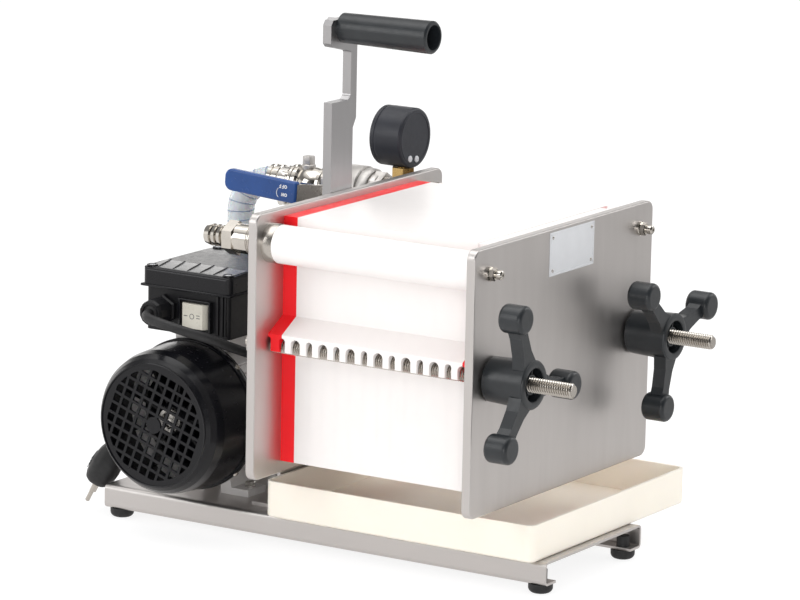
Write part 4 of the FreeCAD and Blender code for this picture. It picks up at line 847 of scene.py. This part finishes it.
def lid_details(panel, gloss, foil):
    """The lid's sloped brow, five slanted ribs, the skirt, and four screws in their wells."""
    low, high = box("terminal_lid")
    bm = bmesh.new()
    profile = [(-102.6, 222.4), (-102.6, 223.35), (-101.8, 223.5), (-76, 224.5), (-75.2, 224.4),
               (-75.2, 223.6)]
    prism(bm, [(-183.2, y, z) for y, z in profile], (80, 0, 0), 0.12)
    piece("lid_brow", bm, panel)
    bm = bmesh.new()
    for front, back in ((-173.5, -179.3), (-158.5, -165.3), (-144.4, -149.9), (-131.8, -136.4),
                        (-118.7, -122.6)):
        slant = back - front
        line = [(front, -102.2, 223.1), (front + slant * 0.35, -92.5, 223.9),
                (front + slant * 0.8, -80.5, 224.35), (back - 1.0, -74.0, 224.55), (back - 2.6, -71.8, 224.3)]
        sweep(bm, smooth_line(line, 4), [0.5] + [0.75] * 15 + [0.4], 10)
    piece("lid_ribs", bm, gloss)
    bm = bmesh.new()
    proud, skirt = 1.1, 207
    block(bm, (low.x - proud, low.y - proud, skirt), (high.x + proud, high.y + proud, skirt + 2.2), 0.7)
    piece("lid_skirt", bm, gloss)
    wells, screws = bmesh.new(), bmesh.new()
    for y in (-99.2, -3.8):
        for x in (-105.5, -180.8):
            collar(wells, [(0, 3.0), (0, 4.8), (0.9, 4.7), (1.2, 4.2), (1.1, 3.0)], (x, y, 223.5), Z, 28)
            screw_head(screws, (x, y, 223.6), Z, 2.9, 0.8)
    piece("lid_screw_wells", wells, gloss)
    piece("lid_screws", screws, foil)


def screw_head(bm, at, way, radius, height):
    """A pan head with a cross slot."""
    first, second, third = basis(way)
    lathe(bm, [(0, 0), (0, radius), (height * 0.6, radius * 0.96), (height, radius * 0.75), (height, 0)],
          at, way, 24)
    top = Vector(at) + first * (height + 0.02)
    for one, other in ((second, third), (third, second)):
        corners = [top + one * (a * radius * 0.55) + other * (b * radius * 0.11) for a, b in SQUARE]
        prism(bm, corners, first * 0.12)


def box_ribs(material):
    """Upright ribs on the box's near face right of the switch and on its left end."""
    corner = box("terminal_box")[0]
    bm = bmesh.new()
    for x, wide in ((-112.5, 2.2), (-107.6, 1.6), (-104.6, 1.6)):
        block(bm, (x - wide / 2, corner.y - 1.6, 173.5), (x + wide / 2, corner.y + 0.4, 206.5), 0.45)
    for y in (-80, -52, -24):
        block(bm, (corner.x - 1.2, y - 1.2, 174), (corner.x + 0.4, y + 1.2, 206.5), 0.4)
    piece("box_ribs", bm, material)


def switch_marks(ink):
    """The three plain marks of the rocker: a dash, a ring and a double dash."""
    front, z = box("rocker_switch")[0].y, middle("rocker_switch").z
    bm = bmesh.new()
    for x, x_end, rise in ((-142.0, -138.4, 0), (-129.6, -126.2, -1.1), (-129.6, -126.2, 1.1)):
        block(bm, (x, front - 0.12, z + rise - 0.3), (x_end, front + 0.1, z + rise + 0.3))
    collar(bm, [(0.1, 2.3), (-0.12, 2.3), (-0.12, 1.75), (0.1, 1.75)], (-134.0, front, z - 0.1), Y, 28)
    piece("rocker_marks", bm, ink, "rocker_body")


def switch_bezel(material):
    """A clear dark bezel standing round the rocker."""
    low, high = box("switch_frame")
    bm = bmesh.new()
    for x, z, x_end, z_end in ((low.x, low.z, low.x + 2, high.z), (high.x - 2, low.z, high.x, high.z),
                               (low.x + 1, low.z, high.x - 1, low.z + 2),
                               (low.x + 1, high.z - 2, high.x - 1, high.z)):
        block(bm, (x, low.y - 1.4, z), (x_end, low.y + 0.4, z_end), 0.5)
    piece("switch_bezel", bm, material)


def gland_nut(material, soft):
    """The cord's gland: a hexagon on the box and a faceted dome nut with an open mouth."""
    bm = bmesh.new()
    hexagon(bm, GLAND_AT, -Y, 22, 5, math.radians(30))
    lathe(bm, [(4.8, 0), (4.8, 9.6), (6, 9.6), (6.3, 11.0), (19.4, 10.9), (20.6, 10.4), (22.4, 9.9),
               (22.8, 9.2), (22.6, 7.4), (21.2, 6.8), (19.6, 0)], GLAND_AT, -Y, 12, math.radians(15))
    piece("gland_nut", bm, material, replaced=("cable_gland",), angle=20)
    bm = bmesh.new()
    collar(bm, [(19.4, 4.05), (19.4, 6.8), (20.8, 6.6), (21.6, 5.2), (22.0, 4.1)], GLAND_AT, -Y, 32)
    piece("gland_seal", bm, soft)


def cowl_rings(material, shine):
    """A bead round the grille, the cowl's rolled edge, and four screws in it."""
    bm = bmesh.new()
    collar(bm, [(0.6, 50.4), (-0.9, 50.7), (-1.1, 51.3), (-0.8, 51.9), (0.8, 52.2)],
           MOTOR_LINE - Y * 140, Y, 96)
    collar(bm, [(0, 61.5), (0, 62.9), (0.9, 63.5), (5.6, 63.5), (6.6, 62.9), (6.6, 61.5)],
           MOTOR_LINE - Y * 88.6, Y, 96)
    piece("cowl_rings", bm, material)
    bm = bmesh.new()
    for angle in (45, 135, 225, 315):
        way = Vector((math.cos(math.radians(angle)), 0, math.sin(math.radians(angle))))
        screw_head(bm, MOTOR_LINE - Y * 85.3 + way * 63.3, way, 2.6, 1.5)
    piece("cowl_screws", bm, shine)


def fan_boss(metal):
    """The clamping ring and shaft end at the fan's middle, behind the grille."""
    at = MOTOR_LINE - Y * 115
    bm = bmesh.new()
    collar(bm, [(0.5, 6.2), (-2.6, 6.4), (-3.2, 7.0), (-3.0, 9.8), (-2.2, 10.6), (0.5, 10.8)], at, Y, 40)
    lathe(bm, [(0.5, 0), (0.5, 6.0), (-0.6, 5.6), (-1.0, 0)], at, Y, 32)
    piece("fan_boss", bm, metal, "fan_body")


def motor_fins(material):
    """Cooling fins on the barrel, left out over the feet and under the box."""
    root, height, length = 57.2, 2.6, 128
    bm = bmesh.new()
    for step in range(48):
        angle = math.radians(7.5 * step + 3.75)
        out = Vector((math.cos(angle), 0, math.sin(angle)))
        if not -0.62 <= out.z <= 0.8:
            continue
        across = Vector((-out.z, 0, out.x)) * 0.7
        base = MOTOR_LINE - Y * 78 + out * root
        tip = base + out * height
        prism(bm, [base - across * 1.5, base + across * 1.5, tip + across, tip - across], Y * length, 0.2)
    piece("motor_fins", bm, material)


def foot_bolts(steel):
    """Bolts and washers on the motor's four pads."""
    bm = bmesh.new()
    for x in (-179.2, -120.8):
        for y in (-40, 40):
            collar(bm, [(0, 2.0), (0, 4.6), (1.0, 4.6), (1.0, 2.0)], (x, y, 33.6), Z, 28)
            hexagon(bm, (x, y, 34.6), Z, 7.6, 3.4, 0.3, 0.3)
    piece("foot_bolts", bm, steel)


def pump_bolts(steel):
    """Six hexagon heads round the pump's front."""
    ring_radius, behind = 38.5, 155.5
    bm = bmesh.new()
    for step in range(6):
        angle = math.radians(60 * step + 30)
        at = MOTOR_LINE + Y * behind + Vector((math.cos(angle), 0, math.sin(angle))) * ring_radius
        spot = touch("pump_body", at, -Y)
        if spot is not None:
            hexagon(bm, spot - Y * 0.2, Y, 8, 4.2, angle, 0.3)
    piece("pump_bolts", bm, steel)


# ---- valve line, hose and gauge

def valve_union(metal, dark):
    """The union between valve and hose: a ribbed nut, a hexagon, beads, a belly and a square vent plug."""
    bm = bmesh.new()
    nut = [(-202, 0), (-202, 11.6), (-201.2, 13.0), (-200.4, 13.7), (-197.2, 13.7), (-196.6, 12.6),
           (-195.4, 12.6), (-194.8, 13.7), (-190.4, 13.7), (-189.6, 12.4), (-188, 12.0), (-187, 11.4),
           (-186.6, 0)]
    lathe(bm, nut, FAR_CHANNEL, X, 60)
    hex_nut(bm, FAR_CHANNEL - X * 187, X, 23.5, 8.4, 6, 0.3)
    belly = [(-179, 0), (-179, 13.2), (-178.4, 15.0), (-177.6, 15.7), (-175.4, 15.7), (-174.8, 14.9),
             (-172.8, 14.9), (-172.2, 15.7), (-170.6, 15.7), (-169.8, 14.6), (-168.8, 13.4), (-167.4, 13.6),
             (-165, 14.7), (-161, 15.3), (-156, 15.1), (-152.4, 14.0), (-150.4, 13.2), (-149.8, 15.0),
             (-149, 15.8), (-146.2, 15.8), (-145.4, 15.0), (-141.6, 13.5), (-141.5, 0)]
    lathe(bm, belly, FAR_CHANNEL, X, 60)
    piece("union_body", bm, metal, replaced=("valve_union",))
    bm = bmesh.new()
    lathe(bm, [(12, 0), (12, 6.2), (16.6, 6.0), (17.2, 5.2), (17.2, 0)], FAR_CHANNEL - X * 164.5, Z, 32)
    block(bm, (-168.6, 103.9, 279.8), (-160.6, 111.9, 288.2), 0.7)
    piece("union_vent", bm, dark)


def valve_shroud(metal, dark):
    """The barrel, chamfered ring and step of the valve's right half, and the thread into the tee."""
    bm = bmesh.new()
    lathe(bm, [(-121, 0), (-121, 21.6), (-120.4, 22.0), (-106.4, 22.0), (-105.4, 21.2), (-105.4, 0)],
          FAR_CHANNEL, X, 72)
    piece("valve_barrel", bm, metal)
    bm = bmesh.new()
    lathe(bm, [(-105.6, 0), (-105.6, 20.2), (-104.6, 20.8), (-98.2, 20.6), (-96.3, 19.2), (-96.3, 17.4),
               (-95.6, 17.0), (-91.0, 17.0), (-90.0, 16.2), (-90.0, 0)], FAR_CHANNEL, X, 72)
    piece("valve_ring", bm, metal)
    bm = bmesh.new()
    thread(bm, -90.6, -80.6, 15.4, 14.5, 1.7, FAR_CHANNEL, 48)
    piece("tee_thread", bm, dark, angle=25)


def hose_spiral(ink):
    """The dark helix wound in the clear hose's wall, laid on its skin."""
    line = smooth_line([(-181, 108, 263.7), (-196, 107, 263.7), (-208, 104.6, 262.4), (-218, 102, 257.2),
                        (-225, 100.3, 247.5), (-228, 99.5, 235), (-228, 99.3, 215), (-227.4, 99.3, 196),
                        (-223, 99.3, 178), (-213, 99.3, 162), (-203, 99.3, 152), (-196, 99.3, 145.5)], 12)
    pitch, steps = 8.5, 8
    outside, widest = 22, 17
    spots, travelled, side = [], 0.0, Y
    for here, after in zip(line, line[1:]):
        ahead = (after - here).normalized()
        side = (side - ahead * side.dot(ahead)).normalized()
        for step in range(steps):
            centre = here.lerp(after, step / steps)
            angle = 2 * math.pi * travelled / pitch
            out = side * math.cos(angle) + ahead.cross(side) * math.sin(angle)
            spot = touch("transfer_hose", centre + out * outside, -out)
            if spot is not None and (spot - centre).length < widest:
                spots.append(spot - out * 0.15)
            travelled += (after - here).length / steps
    bm = bmesh.new()
    sweep(bm, spots, 0.5, 6)
    piece("hose_spiral", bm, ink)


def lever_marks(ink):
    """ON and OFF on the lever's sleeve, upside down at rest, with an arc between them."""
    face = box("lever_sleeve")[0].y
    bm = bmesh.new()
    lean = math.radians(3.8)
    across = Vector((-math.cos(lean), 0, math.sin(lean)))
    up = Vector((-math.sin(lean), 0, -math.cos(lean)))
    for word, z in (("ON", 264.6), ("OFF", 271.6)):
        letters(bm, word, (-151.0, face + 0.05, z), across, up, 3.0, 0.16)
    centre = Vector((-156.5, face, 264.6))
    arc = []
    for angle in range(-50, 51, 10):
        turn = math.radians(angle)
        arc.append(centre + Vector((-4.8 * math.cos(turn), 0, 4.96 * math.sin(turn))))
    sweep(bm, arc, 0.28, 8)
    piece("lever_marks", bm, ink, "lever_body")


def lever_nut(steel):
    """The nut and stem end that hold the lever on the valve."""
    bm = bmesh.new()
    spot = touch("valve_lever", (-113.5, 20, FAR_CHANNEL.z), Y)
    if spot is not None:
        seat = spot + Y * 0.3
        hexagon(bm, seat, -Y, 10, 4.4, 0.2)
        rod(bm, seat, spot - Y * 6.2, 3.1, 20)
        piece("lever_nut", bm, steel, "lever_body")


def gauge_details(white, ink, glass, bright, gloss):
    """The dial, its scale and pointer, the lens and bezel, and the screws on the back."""
    low, high = box("pressure_gauge")
    at = Vector((low.x, GAUGE_LINE.y, GAUGE_LINE.z))
    back = Vector((high.x, GAUGE_LINE.y, GAUGE_LINE.z))
    bm = bmesh.new()
    lathe(bm, [(0.4, 0), (0.4, 22.2), (-0.1, 22.2), (-0.1, 0)], at, X, 60)
    piece("gauge_dial", bm, white)
    gauge_scale(at, ink)
    bm = bmesh.new()
    collar(bm, [(1.5, 25.4), (-1.6, 25.4), (-2.4, 24.8), (-2.5, 23.6), (-2.0, 22.6), (0.4, 22.3),
                (1.5, 22.3)], at, X, 72)
    piece("gauge_bezel", bm, gloss)
    bm = bmesh.new()
    lathe(bm, [(-1.7, 0), (-1.7, 22.8), (-2.1, 22.7), (-2.4, 0)], at, X, 60)
    piece("gauge_lens", bm, glass)
    bm = bmesh.new()
    collar(bm, [(-0.6, 20.6), (0.35, 21.0), (0.5, 21.8), (0.3, 22.6), (-0.8, 23.2)], back, X, 72)
    piece("gauge_back_bead", bm, gloss)
    bm = bmesh.new()
    for y, z in ((-8, -16.8), (2.4, -18.2)):
        screw_head(bm, back + Vector((-0.2, y, z)), X, 2.9, 1.4)
    piece("gauge_screws", bm, bright)


def gauge_scale(at, ink):
    """Thirty-one strokes over 270 degrees, every fifth one long, with the pointer at the first."""
    bm = bmesh.new()
    start = 225
    for step in range(31):
        out, across = dial_ways(start - 9 * step)
        long, half = (3.6, across * 0.35) if step % 5 == 0 else (2.0, across * 0.16)
        foot = at + out * (19.6 - long) - X * 0.05
        tip = foot + out * long
        prism(bm, [foot - half, foot + half, tip + half, tip - half], (-0.16, 0, 0))
    out, across = dial_ways(start)
    tail, tip = at - X * 0.5 - out * 5, at - X * 0.5 + out * 17
    prism(bm, [tail - across * 0.8, tail + across * 0.8, tip + across * 0.15, tip - across * 0.15],
          (-0.3, 0, 0))
    lathe(bm, [(0, 0), (0, 2.2), (-1.0, 2.0), (-1.2, 0)], at, X, 24)
    piece("gauge_scale", bm, ink)


def dial_ways(angle):
    """Outwards and across on the dial, at an angle in degrees from its right as read."""
    turn = math.radians(angle)
    return Vector((0, -math.cos(turn), math.sin(turn))), Vector((0, math.sin(turn), math.cos(turn)))


def outlet_thread(dark):
    """The dark thread of the near outlet tail."""
    bm = bmesh.new()
    thread(bm, -62.5, -52.0, 12.6, 11.6, 1.6, NEAR_CHANNEL, 40)
    piece("outlet_thread", bm, dark, angle=25)


# ---- dressing of the CAD nodes

def dress(material, *names):
    """Gives CAD nodes their material."""
    for name in names:
        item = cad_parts[name]
        item.data.materials.clear()
        item.data.materials.append(material)


def main():
    make_camera()
    make_stage()
    make_sky()
    make_lamps()
    upright = stainless("stainless_upright", (1, 8, 1))
    flat = stainless("stainless_flat", (1, 8, 8))
    steel, rods, chrome, cast = bright_steel(), rod_steel(), nickel(), cast_steel()
    nylon, gloss, soft, slate = black_nylon(), black_gloss(), rubber(), slate_nylon()
    white, red, ink, shell = white_plate(), red_plate(), print_dark(), gauge_enamel()
    foil = silver_foil()
    make_cord(soft, rods)

    dress(flat, "base_channel", "plate_bracket")
    dress(upright, "rear_plate", "press_plate")
    # The handle bar's stainless is a darker copy of the plates' finish: painted shade.
    dress(shaded_sheet(), "handle_bar")
    dress(steel, "rod_nuts", "valve_lever", "hose_clamps")
    dress(chrome, "valve_union", "outlet_hose_tail", "inlet_hose_tail", "pump_outlet_tail")
    dress(cast, "channel_tee", "ball_valve_body")
    dress(brass(), "gauge_stem")
    dress(motor_paint(), "motor_body")
    dress(bronze(), "pump_body")
    dress(nylon, "terminal_box", "switch_frame")
    dress(gloss, "fan_cowl", "cooling_fan", "terminal_lid")
    dress(slate, "hand_knob_near", "hand_knob_far", "handle_grip")
    dress(shell, "pressure_gauge")
    dress(soft, "rubber_feet")
    dress(red, "head_plate", "end_plate")
    dress(white, "channel_seals", *(f"filter_plate_{count:02d}" for count in range(1, 14)))
    dress(cream_tray(), "drip_tray")
    dress(ivory(), "rocker_switch")
    dress(blue_vinyl(), "lever_sleeve")
    dress(clear_hose(), "transfer_hose")

    threaded_rods(rods)
    bleed_nipples(upright, chrome)
    label_plate(foil, steel)
    knob_webs(slate)
    channel_collars(rods)
    lid_details(panel_gloss(), gloss, foil)
    box_ribs(nylon)
    switch_marks(ink)
    switch_bezel(gloss)
    gland_nut(nylon, soft)
    cowl_rings(gloss, rods)
    fan_boss(steel)
    motor_fins(motor_paint())
    foot_bolts(steel)
    pump_bolts(steel)
    valve_union(chrome, cast)
    valve_shroud(cast, rods)
    hose_spiral(hose_line())
    lower_end_plate(red, white)
    lever_marks(print_white())
    lever_nut(steel)
    gauge_details(white, ink, lens(), foil, shell)
    outlet_thread(rods)
    plate_bolts(steel)


main()
bpy.context.scene.view_settings.view_transform = "Standard"
